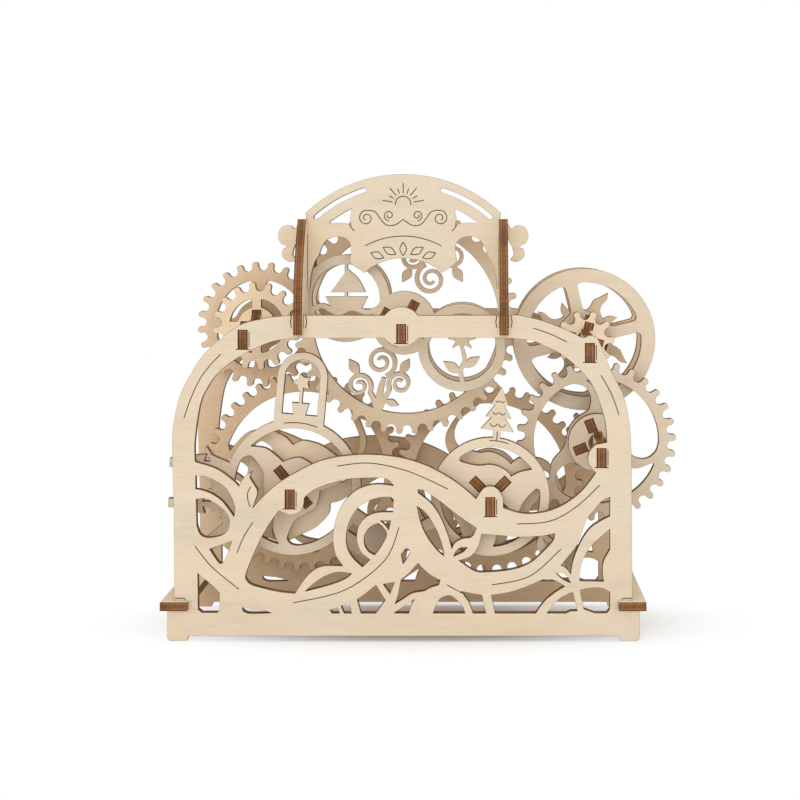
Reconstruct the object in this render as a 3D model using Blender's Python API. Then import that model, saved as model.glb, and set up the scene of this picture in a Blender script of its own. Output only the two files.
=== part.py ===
"""Wooden theater model with a hand wheel: a laser cut plywood frame, six geared wheels and their axles.

Every plate is a flat outline cut from 4 mm plywood and stands in the XZ plane, one behind the other
along Y. Sizes in the tables are millimetres. X and Z are measured from the middle of the front
panel's foot line, Y from the front panel's front face, and the finished model is then moved so that
the middle of its footprint is the origin.
"""
import math

import bmesh
import bpy
from mathutils import Vector

MM = 0.001

# Driving sizes of the plywood and of the layers
PLATE = 4.0                  # thickness of every plywood plate
LAYER_START = 6.0            # front face of the first layer of wheel plates
LAYER_PITCH = 6.25           # from one layer of wheel plates to the next
LAST_LAYER = 8
BACK_GAP = 4.0               # between the last layer and the back panel
PANEL_SPACING = LAYER_START + LAST_LAYER * LAYER_PITCH + PLATE + BACK_GAP    # between the panels' front faces
FIT = 0.2                    # gap round a tenon or a lapped edge

# Gear train
MODULE = 2.4                 # pitch diameter for each tooth
TOOTH_ROOT = -0.95           # tooth heights from the pitch circle, in modules
TOOTH_TIP = 0.85
TOOTH_ROOT_HALF = 1.85       # half widths of a tooth at those heights
TOOTH_TIP_HALF = 0.9
TOOTH_COUNT = {
    "hand_pinion": 10, "side_gear": 30, "side_pinion": 9, "right_gear": 37,
    "left_gear": 39, "corner_gear": 24, "corner_pinion": 16, "ring_gear": 44,
}

# Axes of the six wheels, X and Z
AXIS = {
    "corner": (-73.1, 140.6),
    "centre": (-1.0, 143.2),
    "hand": (84.8, 134.6),
    "side": (90.1, 86.8),
    "right": (39.5, 64.5),
    "left": (-51.7, 68.0),
}

# Panels, cross bars and wings, hung on the axes
SIDE_MARGIN = 13.9           # a panel's side lies this far past the side wheel's axis
PANEL_SIDE = AXIS["side"][0] + SIDE_MARGIN
FOOT_PROUD = 3.4
FOOT_OUTER = PANEL_SIDE + FOOT_PROUD
BAR_Z = 14.3                 # underside of the two cross bars
BAR_WIDTH = 12.4
BAR_OUTER = PANEL_SIDE + BAR_WIDTH / 2
BAR_PROUD = 3.0              # how far a cross bar stands out past each panel
TOP_MARGIN = 4.9             # the top bar's upper edge lies this far over the centre wheel's axis
TOP_BAR = AXIS["centre"][1] + TOP_MARGIN
LAP_DEPTH = 5.8              # slots in the panels' top bars
LAP_HEIGHT = TOP_BAR - LAP_DEPTH
HOOK_DEPTH = 3.1             # how far a wing's hooks hang below those slots
WING_BOTTOM = LAP_HEIGHT - HOOK_DEPTH
WING_OFFSET = 46.7           # wing mid planes, from the centre wheel's axis
HEADER_Y = 18.0              # front face of the header board
HEADER_RAISE = 3.3
HEADER_CENTRE = (AXIS["centre"][0], AXIS["centre"][1] + HEADER_RAISE)
HEADER_RADIUS = 66.5
LAP_RISE = 38.3              # the wings and the header lap this far over the header's centre
HEADER_LAP = HEADER_CENTRE[1] + LAP_RISE
WING_TOP = HEADER_LAP + 7.2

# Axle bar, hub hole and the four spacers that tie the plates of a wheel
BAR_HEIGHT = 6.4             # the bar between the panels, centred on the axis
HUB_HOLE = 4.15
TENON_TOP = 0.6              # front tenon, measured from the axis
TENON_BOTTOM = -7.8
SHOULDER_DEPTH = 1.6
STOP_DEPTH = 3.6
STOP_HALF = 5.4
SPACERS = (5.4, 11.4)        # how near and how far a spacer comes from its wheel's axis
CORNER_SPACERS = (5.0, 7.6)
SPACER_WIDTH = 4.0
PINION_WALL = 1.3            # wood left under a pinion's teeth, outside the spacers
SPACER_TURN = {"corner": 90.0, "centre": 61.0, "hand": 75.0, "side": 21.0, "right": 45.0, "left": 40.0}
HUB_RADIUS = 13.6

# Wheel radii
RING_INNER = 44.9
MEDAL_OFFSET = 29.7
MEDAL_OUTER = 20.6
MEDAL_INNER = 16.0
MEDAL_TURN = 157.0
HAND_RADIUS = 34.0
HAND_TURN = 13.8             # how the hand wheel's spokes are turned at rest
LEFT_RING = 31.5
LEFT_REACH = 62.5            # the scenes sweep this far round the axis
RIGHT_RING = 27.2
RIGHT_REACH = 50.5

STEPS = 2                    # points laid between two points of a smooth edge
PANEL_STEPS = 1              # the same on the panels, whose edges have closer points


def layer(index):
    """Front face of one layer of wheel plates."""
    return LAYER_START + LAYER_PITCH * index


# Flat outlines

def polar(radius, degrees, centre=(0.0, 0.0)):
    angle = math.radians(degrees)
    return (centre[0] + radius * math.cos(angle), centre[1] + radius * math.sin(angle))


def arc(radius, start, end, steps, centre=(0.0, 0.0)):
    return [polar(radius, start + (end - start) * i / steps, centre) for i in range(steps + 1)]


def circle(radius, steps=32, centre=(0.0, 0.0)):
    return [polar(radius, 360.0 * i / steps, centre) for i in range(steps)]


def turned(points, degrees, centre=(0.0, 0.0)):
    cos, sin = math.cos(math.radians(degrees)), math.sin(math.radians(degrees))
    return [(centre[0] + x * cos - z * sin, centre[1] + x * sin + z * cos) for x, z in points]


def moved(points, offset):
    return [(x + offset[0], z + offset[1]) for x, z in points]


def mirrored(points):
    return [(-x, z) for x, z in points]


def catmull(before, start, end, after, t):
    """A point on the smooth curve from start to end."""
    return tuple(
        0.5 * (2 * b + (c - a) * t + (2 * a - 5 * b + 4 * c - d) * t ** 2 + (3 * b - a - 3 * c + d) * t ** 3)
        for a, b, c, d in zip(before, start, end, after)
    )


def smooth(points, steps=STEPS):
    """An open smooth line through the points."""
    line = []
    for i in range(len(points) - 1):
        before = points[max(i - 1, 0)]
        after = points[min(i + 2, len(points) - 1)]
        line += [catmull(before, points[i], points[i + 1], after, k / steps) for k in range(steps)]
    return line + [points[-1]]


def smooth_loop(points, steps=STEPS):
    """A closed smooth line through the points."""
    count = len(points)
    line = []
    for i in range(count):
        around = [points[(i + k) % count] for k in (-1, 0, 1, 2)]
        line += [catmull(*around, k / steps) for k in range(steps)]
    return line


def rectangle(width, height, centre=(0.0, 0.0)):
    x, z = centre
    return [(x - width / 2, z - height / 2), (x + width / 2, z - height / 2),
            (x + width / 2, z + height / 2), (x - width / 2, z + height / 2)]


def stroke(path, start_width, end_width):
    """A band along a path, its width changing evenly from one end to the other."""
    left, right = [], []
    last = len(path) - 1
    for i, (x, z) in enumerate(path):
        ax, az = path[max(i - 1, 0)]
        bx, bz = path[min(i + 1, last)]
        length = math.hypot(bx - ax, bz - az)
        half = (start_width + (end_width - start_width) * i / last) / 2
        nx, nz = -(bz - az) / length * half, (bx - ax) / length * half
        left.append((x + nx, z + nz))
        right.append((x - nx, z - nz))
    return left + right[::-1]


def leaf(root, tip, bulge):
    """A pointed leaf from its root to its tip."""
    (ax, az), (bx, bz) = root, tip
    mx, mz = (ax + bx) / 2, (az + bz) / 2
    nx, nz = (az - bz) * bulge, (bx - ax) * bulge
    return smooth([root, (mx + nx, mz + nz), tip]) + smooth([tip, (mx - nx, mz - nz), root])[1:-1]


def linked(lines):
    """One ring from lines that follow one another. Ends that meet are kept once."""
    ring = []
    for line in lines:
        if ring and math.dist(ring[-1], line[0]) < 0.01:
            line = line[1:]
        ring += line
    if math.dist(ring[0], ring[-1]) < 0.01:
        ring.pop()
    return ring


def polar_line(table):
    """Points given as (degrees, radius)."""
    return [polar(radius, degrees) for degrees, radius in table]


def spiral(centre, outer, inner, start, turns, steps):
    """A path that winds inwards round a centre."""
    return [polar(outer + (inner - outer) * i / steps, start + 360.0 * turns * i / steps, centre)
            for i in range(steps + 1)]


# Solids

def flat_mesh(rings, thickness):
    """A closed plate: the first ring is its edge, the others are its windows."""
    curve = bpy.data.curves.new("outline", "CURVE")
    curve.dimensions = "2D"
    curve.fill_mode = "BOTH"
    curve.extrude = thickness / 2 * MM
    for ring in rings:
        spline = curve.splines.new("POLY")
        spline.points.add(len(ring) - 1)
        spline.use_cyclic_u = True
        for point, (x, z) in zip(spline.points, ring):
            point.co = (x * MM, z * MM, 0.0, 1.0)
    holder = bpy.data.objects.new("outline", curve)
    bpy.context.scene.collection.objects.link(holder)
    depsgraph = bpy.context.evaluated_depsgraph_get()
    mesh = bpy.data.meshes.new_from_object(holder.evaluated_get(depsgraph))
    bpy.data.objects.remove(holder)
    bpy.data.curves.remove(curve)
    shell = bmesh.new()
    shell.from_mesh(mesh)
    bmesh.ops.remove_doubles(shell, verts=shell.verts, dist=0.001 * MM)
    shell.to_mesh(mesh)
    shell.free()
    mesh.materials.clear()
    return mesh


def combine(body, rings, thickness, operation):
    """Join a flat shape to a flat body, or cut it out."""
    piece = bpy.data.objects.new("shape", flat_mesh(rings, thickness))
    bpy.context.scene.collection.objects.link(piece)
    step = body.modifiers.new("combine", "BOOLEAN")
    step.operation = operation
    step.solver = "EXACT"
    step.object = piece
    depsgraph = bpy.context.evaluated_depsgraph_get()
    mesh = bpy.data.meshes.new_from_object(body.evaluated_get(depsgraph))
    body.modifiers.clear()
    body.data = mesh
    bpy.data.objects.remove(piece)


def joined_mesh(base, extras, cuts, thickness):
    """The plate with more flat shapes joined to it as one solid, then with holes cut through."""
    body = bpy.data.objects.new("body", flat_mesh(base, thickness))
    bpy.context.scene.collection.objects.link(body)
    for rings in extras:
        combine(body, rings, thickness, "UNION")
    combine(body, cuts, thickness * 2, "DIFFERENCE")
    mesh = body.data
    bpy.data.objects.remove(body)
    shell = bmesh.new()
    shell.from_mesh(mesh)
    bmesh.ops.remove_doubles(shell, verts=shell.verts, dist=0.002 * MM)
    bmesh.ops.dissolve_limit(shell, angle_limit=math.radians(0.5), verts=shell.verts, edges=shell.edges)
    bmesh.ops.triangulate(shell, faces=shell.faces[:])
    shell.to_mesh(mesh)
    shell.free()
    mesh.materials.clear()
    return mesh


def plywood(name, colour):
    material = bpy.data.materials.new(name)
    material.use_nodes = True
    shader = material.node_tree.nodes["Principled BSDF"]
    shader.inputs["Base Color"].default_value = (*colour, 1.0)
    shader.inputs["Roughness"].default_value = 0.7
    shader.inputs["Metallic"].default_value = 0.0
    return material


def standing(name, mesh, place, parts, colour):
    """Stand a flat mesh up in the XZ plane at (x, mid y, z)."""
    part = bpy.data.objects.new(name, mesh)
    part.location = Vector(place) * MM
    part.rotation_euler = (math.radians(90.0), 0.0, 0.0)
    mesh.name = name
    mesh.materials.append(plywood(name + "_wood", colour))
    parts.objects.link(part)
    return part


def upright(name, mesh, place, parts, colour):
    """Stand a flat mesh up in the YZ plane, its outline's x running along Y."""
    part = standing(name, mesh, place, parts, colour)
    part.rotation_euler = (math.radians(90.0), 0.0, math.radians(90.0))
    return part


FACE = (0.76, 0.64, 0.48)
REAR_FACE = (0.62, 0.47, 0.31)
MIDDLE_FACE = (0.68, 0.54, 0.38)
BURNT = (0.24, 0.11, 0.05)


# Front and back panels

def panel_edge():
    """Outer edge of a panel, anticlockwise from the left foot."""
    side = PANEL_SIDE
    notch = side - FIT
    low, high = BAR_Z - FIT, BAR_Z + PLATE + FIT
    left_foot = [(-notch, high), (-notch, low), (-FOOT_OUTER, low), (-FOOT_OUTER, 1.2), (1.2 - FOOT_OUTER, 0.0),
                 (8.8 - FOOT_OUTER, 0.0), (9.8 - FOOT_OUTER, 2.3)]
    right_foot = [(-x, z) for x, z in reversed(left_foot)]
    right_side = [(side, high), (side, 25.0)] + smooth([(side - 0.1, 60.0), (side - 0.5, 91.0), (side - 2.4, 106.0),
                  (side - 5.1, 114.1), (side - 9.2, 122.0), (89.3, 135.5), (87.6, 138.2)], PANEL_STEPS)
    hand_lobe = [(84.8, 138.9), (81.6, 137.9), (78.0, 139.6)]
    right_top = smooth([(71.1, 142.7), (62.0, 145.9), (52.0, 148.2)], PANEL_STEPS)
    lobe = arc(9.2, 35.0, 145.0, 6, (AXIS["centre"][0], AXIS["centre"][1] - 0.5))
    left_top = smooth([(-58.0, 147.4), (-64.3, 146.4), (-74.3, 143.6), (-85.7, 135.5), (-92.5, 128.2),
                       (7.0 - side, 120.9), (2.4 - side, 111.8), (-side - 0.3, 100.5), (-side - 1.2, 91.0),
                       (-side - 0.4, 60.0)], PANEL_STEPS)
    return (left_foot + right_foot + right_side + hand_lobe + right_top + wing_notch(1)
            + lobe + wing_notch(-1) + left_top + [(-side - 0.2, 25.0), (-side - 0.2, high)])


def wing_notch(side):
    """Slot in the top bar that a wing drops into, from right to left."""
    middle = AXIS["centre"][0] + side * WING_OFFSET
    half = PLATE / 2 + FIT
    return [(middle + half, TOP_BAR), (middle + half, LAP_HEIGHT), (middle - half, LAP_HEIGHT),
            (middle - half, TOP_BAR)]


def stage_opening():
    """The large opening between the arch and the wave."""
    lobe = arc(9.4, -145.0, -35.0, 6, AXIS["centre"])
    arch_left = smooth([(-94.8, 81.6), (-94.8, 91.4), (-92.5, 107.3), (-88.9, 115.5), (-84.3, 121.8),
                        (-75.7, 128.6), (-64.3, 134.5), (-56.1, 137.0), (-48.0, 137.7)], PANEL_STEPS)
    arch_right = smooth([(44.0, 137.9), (57.5, 136.8), (64.3, 134.1), (71.1, 130.9), (78.0, 125.5),
                         (82.5, 120.9), (87.0, 114.1), (91.6, 100.5), (92.5, 90.2)], PANEL_STEPS)
    side_lobe = smooth([(87.2, 89.2), (84.3, 85.5), (84.3, 80.9), (87.5, 76.4)], PANEL_STEPS)
    bowl = smooth([(87.5, 76.4), (84.8, 72.7), (80.2, 67.3), (73.4, 62.3), (66.6, 59.3), (59.8, 58.0),
                   (53.0, 58.2), (45.4, 60.5)], PANEL_STEPS)[1:]
    right_lobe = smooth([(45.2, 65.4), (42.9, 69.0), (39.5, 70.4), (36.1, 69.0), (33.0, 64.6)], PANEL_STEPS)
    crest = smooth([(33.0, 64.6), (28.0, 69.1), (21.1, 74.1), (12.0, 79.1), (3.0, 82.3), (-6.1, 84.1),
                    (-17.5, 84.8), (-28.9, 83.9), (-38.0, 81.8), (-47.0, 77.7), (-56.1, 72.3),
                    (-63.0, 66.4), (-68.7, 60.2)], PANEL_STEPS)[1:]
    bud = smooth([(-67.2, 64.4), (-66.4, 68.2), (-68.4, 71.8), (-69.8, 74.5), (-68.9, 77.0)], PANEL_STEPS)
    bud += smooth([(-68.9, 77.0), (-72.0, 75.0), (-74.1, 71.8), (-74.8, 70.2)], PANEL_STEPS)[1:]
    shore = smooth([(-76.1, 71.8), (-78.9, 74.1), (-82.5, 76.8), (-87.0, 79.1), (-94.0, 81.2)], PANEL_STEPS)
    return arch_left + lobe + arch_right + side_lobe + bowl + right_lobe + crest + bud + shore


# Windows of the fretwork below the wave: each is a list of smooth runs that meet at corners
FRETWORK = [
    [[(-94.5, 75.2), (-89.8, 74.8), (-85.2, 72.7), (-80.7, 69.5), (-78.0, 65.0), (-76.6, 60.5), (-77.0, 56.4)],
     [(-77.0, 56.4), (-78.9, 59.1), (-82.5, 63.6), (-87.0, 66.8), (-91.6, 68.6), (-94.5, 69.1)]],
    [[(-94.3, 64.5), (-90.2, 64.8), (-85.7, 62.7), (-81.6, 59.5), (-79.3, 55.9), (-79.3, 51.8),
      (-81.1, 49.1), (-84.3, 47.5), (-89.3, 47.0), (-92.5, 48.6), (-94.0, 52.6)]],
    [[(-88.2, 41.8), (-78.0, 45.5)], [(-78.0, 45.5), (-79.3, 41.4), (-81.6, 36.4), (-83.4, 35.2),
      (-85.5, 37.6), (-88.2, 41.8)]],
    [[(-93.6, 30.9), (-89.8, 27.7), (-86.6, 25.0), (-83.6, 22.0)], [(-83.6, 14.0), (-84.6, 12.9)],
     [(-91.6, 12.9), (-93.4, 14.3)]],
    [[(-73.4, 15.2), (-66.1, 14.5), (-60.2, 12.9)], [(-60.2, 12.7), (-66.0, 12.5), (-70.7, 12.6), (-72.9, 13.6)]],
    [[(-56.6, 59.3), (-60.2, 54.5), (-64.3, 47.7), (-67.5, 40.9), (-70.2, 34.5), (-71.8, 30.0),
      (-71.4, 27.7), (-69.3, 25.7), (-64.3, 24.1), (-56.1, 22.3), (-49.3, 21.6)],
     [(-49.3, 21.6), (-44.8, 28.4), (-40.7, 32.3), (-35.7, 34.1), (-27.5, 34.1)],
     [(-27.5, 34.1), (-30.7, 39.1), (-32.0, 45.9), (-31.1, 54.1), (-28.0, 61.8), (-22.0, 68.2),
      (-16.1, 70.7), (-10.7, 71.3), (-4.3, 70.5)],
     [(-4.3, 70.5), (-8.4, 73.9), (-19.8, 74.1), (-26.6, 73.4), (-35.7, 70.9), (-41.6, 68.2), (-45.2, 65.0)],
     [(-45.2, 65.0), (-45.6, 61.4), (-47.6, 58.5), (-51.6, 57.4), (-56.6, 59.3)]],
    [[(-44.8, 22.5), (-41.1, 25.9), (-35.7, 29.5), (-29.8, 31.4), (-23.4, 30.7)],
     [(-23.4, 30.7), (-26.6, 28.2), (-33.4, 25.5), (-44.8, 22.5)]],
    [[(-33.4, 14.1), (-29.8, 15.2)], [(-29.0, 12.6), (-32.5, 12.6)]],
    [[(-28.4, 15.9), (-24.3, 17.3)], [(-23.6, 12.6), (-27.0, 12.6)]],
    [[(-21.1, 18.9), (-17.0, 21.8), (-12.5, 25.5)], [(-8.2, 18.6), (-12.5, 12.6)], [(-19.3, 12.6), (-20.0, 15.0)]],
    [[(-9.3, 25.9), (-3.9, 26.8)], [(-6.1, 21.4), (-7.7, 23.6)]],
    [[(-1.1, 28.0), (2.5, 30.9), (6.6, 35.5)], [(6.6, 35.5), (11.1, 30.9), (16.8, 27.7)],
     [(16.1, 25.5), (12.0, 24.1), (9.3, 22.7), (4.3, 21.8), (-0.2, 19.1), (-3.9, 16.8)],
     [(-3.9, 16.8), (-2.5, 20.9), (-1.1, 28.0)]],
    [[(-4.3, 12.6), (0.2, 15.9), (5.2, 19.1)], [(3.4, 15.9), (2.5, 12.6)]],
    [[(13.4, 12.6), (14.8, 16.4), (17.0, 19.5), (21.1, 20.7), (24.3, 18.6), (27.0, 15.5), (28.0, 12.6)]],
    [[(26.1, 22.7), (30.2, 21.8), (35.7, 20.9)], [(37.5, 12.6), (31.6, 12.6)], [(29.8, 17.7), (26.1, 22.7)]],
    [[(40.0, 20.9), (48.4, 22.3), (56.6, 25.0), (64.3, 28.2), (69.3, 27.3), (73.4, 24.8)],
     [(73.4, 24.8), (69.3, 22.3), (64.3, 18.2), (60.2, 12.6)], [(41.6, 12.6), (40.8, 16.8)]],
    [[(65.2, 12.6), (68.0, 16.4), (72.0, 20.0), (77.0, 22.3)], [(78.0, 18.2), (79.1, 13.6)],
     [(76.1, 13.6), (73.9, 12.6)]],
    [[(80.2, 23.2), (84.8, 24.1), (90.2, 24.1), (93.9, 22.3)], [(93.9, 14.5), (92.5, 12.7)],
     [(87.0, 12.7), (82.0, 14.5)]],
    [[(93.9, 50.9), (90.7, 48.2), (85.7, 43.6), (82.0, 37.7), (80.2, 31.4), (80.2, 27.3)],
     [(91.1, 27.0), (90.5, 31.4), (91.1, 36.4), (93.9, 41.6)]],
    [[(93.9, 65.5), (90.2, 63.6), (86.6, 59.5), (83.4, 55.5), (81.6, 50.5), (79.3, 44.5), (76.6, 40.5),
      (71.6, 34.5)], [(71.6, 34.5), (73.9, 33.2), (76.1, 30.5)],
     [(76.1, 30.5), (77.0, 35.9), (79.3, 42.3), (82.5, 48.2), (86.6, 52.7), (93.9, 56.8)]],
    [[(69.3, 30.9), (72.0, 30.9), (74.4, 29.4), (76.1, 26.4)], [(76.1, 26.4), (72.5, 28.0), (69.3, 30.9)]],
    [[(6.6, 68.9), (9.6, 68.2), (16.6, 63.6), (23.4, 58.2), (30.2, 53.4), (33.2, 51.4)],
     [(33.2, 51.4), (31.1, 47.4), (26.6, 46.4), (23.4, 44.5), (22.0, 41.8)],
     [(22.0, 41.8), (20.2, 48.2), (16.6, 56.8), (12.5, 62.7), (6.6, 67.4)]],
    [[(35.6, 48.7), (43.9, 48.0), (53.0, 47.3), (62.0, 47.7), (68.9, 48.9)],
     [(68.9, 48.9), (68.0, 45.5), (63.4, 40.5), (57.5, 35.5), (49.8, 32.6), (39.3, 31.4), (32.5, 31.8),
      (25.2, 36.6)], [(25.2, 36.6), (30.6, 38.6), (33.8, 42.8), (35.6, 48.7)]],
    [[(22.7, 38.4), (23.9, 40.9), (26.1, 42.5), (29.1, 42.5)], [(29.1, 42.5), (27.0, 40.4), (22.7, 38.4)]],
    [[(6.1, 61.4), (9.8, 58.6), (13.4, 53.6), (16.1, 48.2), (18.0, 42.3), (18.4, 38.6)],
     [(18.4, 38.6), (15.2, 41.4), (11.1, 46.8), (8.0, 53.2), (6.1, 61.4)]],
    [[(-1.1, 39.3), (1.1, 42.0), (3.0, 40.9), (2.0, 38.2), (-0.2, 35.0)]],
    [[(-4.5, 65.2), (-8.9, 65.5), (-14.8, 64.1), (-20.7, 60.5), (-24.3, 55.0), (-26.1, 48.2), (-25.5, 42.3),
      (-23.0, 37.7), (-18.6, 33.6)], [(-18.6, 33.6), (-15.2, 37.0)],
     [(-15.2, 37.0), (-18.9, 40.0), (-20.9, 44.5), (-21.1, 49.1), (-19.8, 53.2), (-16.6, 56.6),
      (-11.6, 58.4), (-4.8, 58.6)]],
    [[(-11.6, 53.6), (-15.2, 51.8), (-17.7, 48.2), (-17.7, 43.6), (-15.7, 40.5), (-13.0, 39.1)],
     [(-13.0, 39.1), (-10.0, 43.2), (-7.5, 48.6), (-9.8, 52.3)]],
    [[(-10.7, 54.8), (-5.7, 54.8)], [(-6.6, 50.4), (-8.4, 52.8)]],
]


def joined_runs(runs):
    """One ring from smooth runs: a corner stays where two runs meet."""
    return linked([smooth(run, PANEL_STEPS) for run in runs])


def front_mortise(axis):
    """Slot for an axle's front tenon, which hangs below the axis."""
    x, z = axis
    height = TENON_TOP - TENON_BOTTOM + 2 * FIT
    return rectangle(PLATE + 2 * FIT, height, (x, z + (TENON_TOP + TENON_BOTTOM) / 2))


def back_mortise(axis):
    """Slot for an axle's back tenon, which is no taller than the bar and so passes the hub hole."""
    x, z = axis
    return rectangle(PLATE + 2 * FIT, BAR_HEIGHT + 2 * FIT, (x, z + TENON_TOP - BAR_HEIGHT / 2))


def make_panels(parts):
    shared = [panel_edge(), stage_opening()] + [joined_runs(window) for window in FRETWORK]
    for name, front, mortise, colour in (("front_panel", 0.0, front_mortise, FACE),
                                         ("back_panel", PANEL_SPACING, back_mortise, REAR_FACE)):
        rings = shared + [mortise(axis) for axis in AXIS.values()]
        standing(name, flat_mesh(rings, PLATE), (0.0, front + PLATE / 2, 0.0), parts, colour)


def make_cross_bars(parts):
    """Two bars that lap into both panels just above the feet and tie them together."""
    depth = PANEL_SPACING + PLATE
    lap = PANEL_SIDE
    inner = BAR_OUTER - BAR_WIDTH
    for name, side in (("left_cross_bar", -1), ("right_cross_bar", 1)):
        edge = [(BAR_OUTER, -BAR_PROUD), (BAR_OUTER, depth + BAR_PROUD), (inner, depth + BAR_PROUD)]
        for start in (PANEL_SPACING, 0.0):
            edge += [(inner, start + PLATE + FIT), (lap, start + PLATE + FIT), (lap, start - FIT),
                     (inner, start - FIT)]
        edge.append((inner, -BAR_PROUD))
        ring = [(side * x, y) for x, y in edge]
        bar = standing(name, flat_mesh([ring], PLATE), (0.0, 0.0, BAR_Z + PLATE / 2), parts, BURNT)
        bar.rotation_euler = (0.0, 0.0, 0.0)


# Wings and header board

def wing_edge():
    """Side view of a wing, x along the model's depth: it laps over both panels' top bars."""
    back = PANEL_SPACING + PLATE
    proud = 3.5
    hook_top = LAP_HEIGHT + FIT
    near, far = HEADER_Y + PLATE, PANEL_SPACING - 3.3
    lap, top = HEADER_LAP, WING_TOP
    front_leg = [(-proud, WING_BOTTOM), (-FIT, WING_BOTTOM), (-FIT, hook_top), (PLATE + FIT, hook_top),
                 (PLATE + FIT, WING_BOTTOM), (near, WING_BOTTOM)]
    arch = smooth([(near, lap - 24.8), (near + 1.0, lap - 15.8), (near + 7.0, lap - 8.4), (near + 16.0, lap - 5.8),
                   (far - 10.7, lap - 5.8), (far - 3.2, lap - 8.8), (far, lap - 16.8), (far, lap - 26.8)])
    back_leg = [(far, WING_BOTTOM), (PANEL_SPACING - FIT, WING_BOTTOM), (PANEL_SPACING - FIT, hook_top),
                (back + FIT, hook_top), (back + FIT, WING_BOTTOM), (back + proud, WING_BOTTOM)]
    rise = smooth([(-proud, top - 42.0), (-2.4, top - 32.0), (0.6, top - 22.0), (5.4, top - 12.0),
                   (10.6, top - 4.0), (14.0, top)])
    back_rise = [(back - y, z) for y, z in rise]
    slot = [(HEADER_Y + PLATE + FIT, WING_TOP), (HEADER_Y + PLATE + FIT, HEADER_LAP - FIT),
            (HEADER_Y - FIT, HEADER_LAP - FIT), (HEADER_Y - FIT, WING_TOP)]
    return front_leg + arch + back_leg + back_rise + slot + rise[::-1]


def make_wings(parts):
    for name, side in (("left_wing", -1), ("right_wing", 1)):
        middle = AXIS["centre"][0] + side * WING_OFFSET
        upright(name, flat_mesh([wing_edge()], PLATE), (middle, 0.0, 0.0), parts, BURNT)


def header_half():
    """Right half of the header board's edge, from the middle of its foot outwards."""
    cz = HEADER_CENTRE[1]
    lap = PLATE / 2 + FIT
    bottom = arc(27.3, 90.0, 48.5, 5)
    wing = WING_OFFSET
    drape = smooth([bottom[-1], (wing - 22.1, 25.2), (wing - 22.4, 30.0), (wing - 21.9, 34.0), (wing - 19.7, 36.6),
                    (wing - 15.7, 37.4), (wing - 11.5, 36.2), (wing - 9.0, 32.9), (wing - 7.2, 28.3),
                    (wing - 5.4, 25.5), (wing - 3.7, 19.4), (wing - 3.0, 13.0)])[1:]
    notch = [(wing - lap, 13.0), (wing - lap, HEADER_LAP - cz), (wing + lap, HEADER_LAP - cz), (wing + lap, 36.0)]
    scroll = smooth([(wing + 3.9, 33.0), (wing + 4.9, 29.0), (wing + 3.3, 26.4), (wing + 6.7, 25.6),
                     (wing + 9.7, 28.0), (wing + 9.5, 31.4), (wing + 7.7, 32.6), (wing + 10.7, 34.6),
                     (wing + 11.7, 38.4), (wing + 9.9, 41.8), (wing + 6.3, 42.6), (wing + 3.9, 40.8)])
    top = [(wing + 1.7, 44.2), (wing - 1.5, 45.4)] + arc(HEADER_RADIUS, 46.6, 90.0, 10)
    return bottom + drape + notch + scroll + top


def make_header(parts):
    half = header_half()
    rings = [half[:-1] + mirrored(half)[::-1][:-1]]
    rim = HEADER_RADIUS
    for flip in (False, True):
        slot = arc(rim - 3.6, 48.5, 73.0, 6) + arc(rim - 5.8, 73.0, 48.5, 6)
        window = arc(rim - 10.6, 52.0, 64.5, 4)
        window += smooth(polar_line([(63.5, rim - 12.2), (61.7, rim - 14.2), (60.3, rim - 17.7)]))
        window += smooth(polar_line([(59.1, rim - 15.9), (55.6, rim - 13.4), (51.6, rim - 10.8)]))
        for shape in (slot, window):
            rings.append(mirrored(shape) if flip else shape)
    cx, cz = HEADER_CENTRE
    standing("header_board", flat_mesh(rings, PLATE), (cx, HEADER_Y + PLATE / 2, cz), parts, FACE)


# Gears and wheels

def pitch_radius(teeth):
    return MODULE * teeth / 2


def gear_edge(teeth, turn):
    """Finger shaped teeth round a gear, one of them centred at the turn."""
    profile = [(TOOTH_ROOT, -TOOTH_ROOT_HALF), (TOOTH_TIP, -TOOTH_TIP_HALF),
               (TOOTH_TIP, TOOTH_TIP_HALF), (TOOTH_ROOT, TOOTH_ROOT_HALF)]
    ring = []
    for tooth in range(teeth):
        angle = turn + 360.0 * tooth / teeth
        ring += turned([(pitch_radius(teeth) + MODULE * rise, half) for rise, half in profile], angle)
    return ring


def line_of_centres(one, other):
    (ax, az), (bx, bz) = AXIS[one], AXIS[other]
    return math.degrees(math.atan2(bz - az, bx - ax))


def meshing_turn(turn, teeth, other_teeth, direction):
    """Turn of a gear whose gap takes its neighbour's tooth on the line of centres."""
    return direction + 180.0 - (turn - direction) * teeth / other_teeth + 180.0 / other_teeth


def gear_turns():
    """How each gear is turned at rest, so that every pair is in mesh."""
    turns = {"hand_pinion": 0.0, "side_pinion": 12.0, "corner_pinion": 6.0}
    mesh = [("hand_pinion", "side_gear", "hand", "side"), ("side_pinion", "right_gear", "side", "right"),
            ("right_gear", "left_gear", "right", "left"), ("left_gear", "corner_gear", "left", "corner"),
            ("corner_pinion", "ring_gear", "corner", "centre")]
    for driver, driven, one, other in mesh:
        direction = line_of_centres(one, other)
        turns[driven] = meshing_turn(turns[driver], TOOTH_COUNT[driver], TOOTH_COUNT[driven], direction)
    return turns


def pinion_reach(teeth):
    """How near and how far a spacer's tenon may come in a small pinion."""
    inner, outer = SPACERS
    return inner, min(outer, pitch_radius(teeth) + MODULE * TOOTH_ROOT - PINION_WALL)


def hub_rings(axis_name, reach=SPACERS):
    """The hub hole and the four mortises for the spacers."""
    inner, outer = reach
    mortise = rectangle(outer - inner + 2 * FIT, SPACER_WIDTH + 2 * FIT, ((inner + outer) / 2, 0.0))
    return [circle(HUB_HOLE, 16)] + [turned(mortise, SPACER_TURN[axis_name] + 90.0 * i) for i in range(4)]


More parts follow.
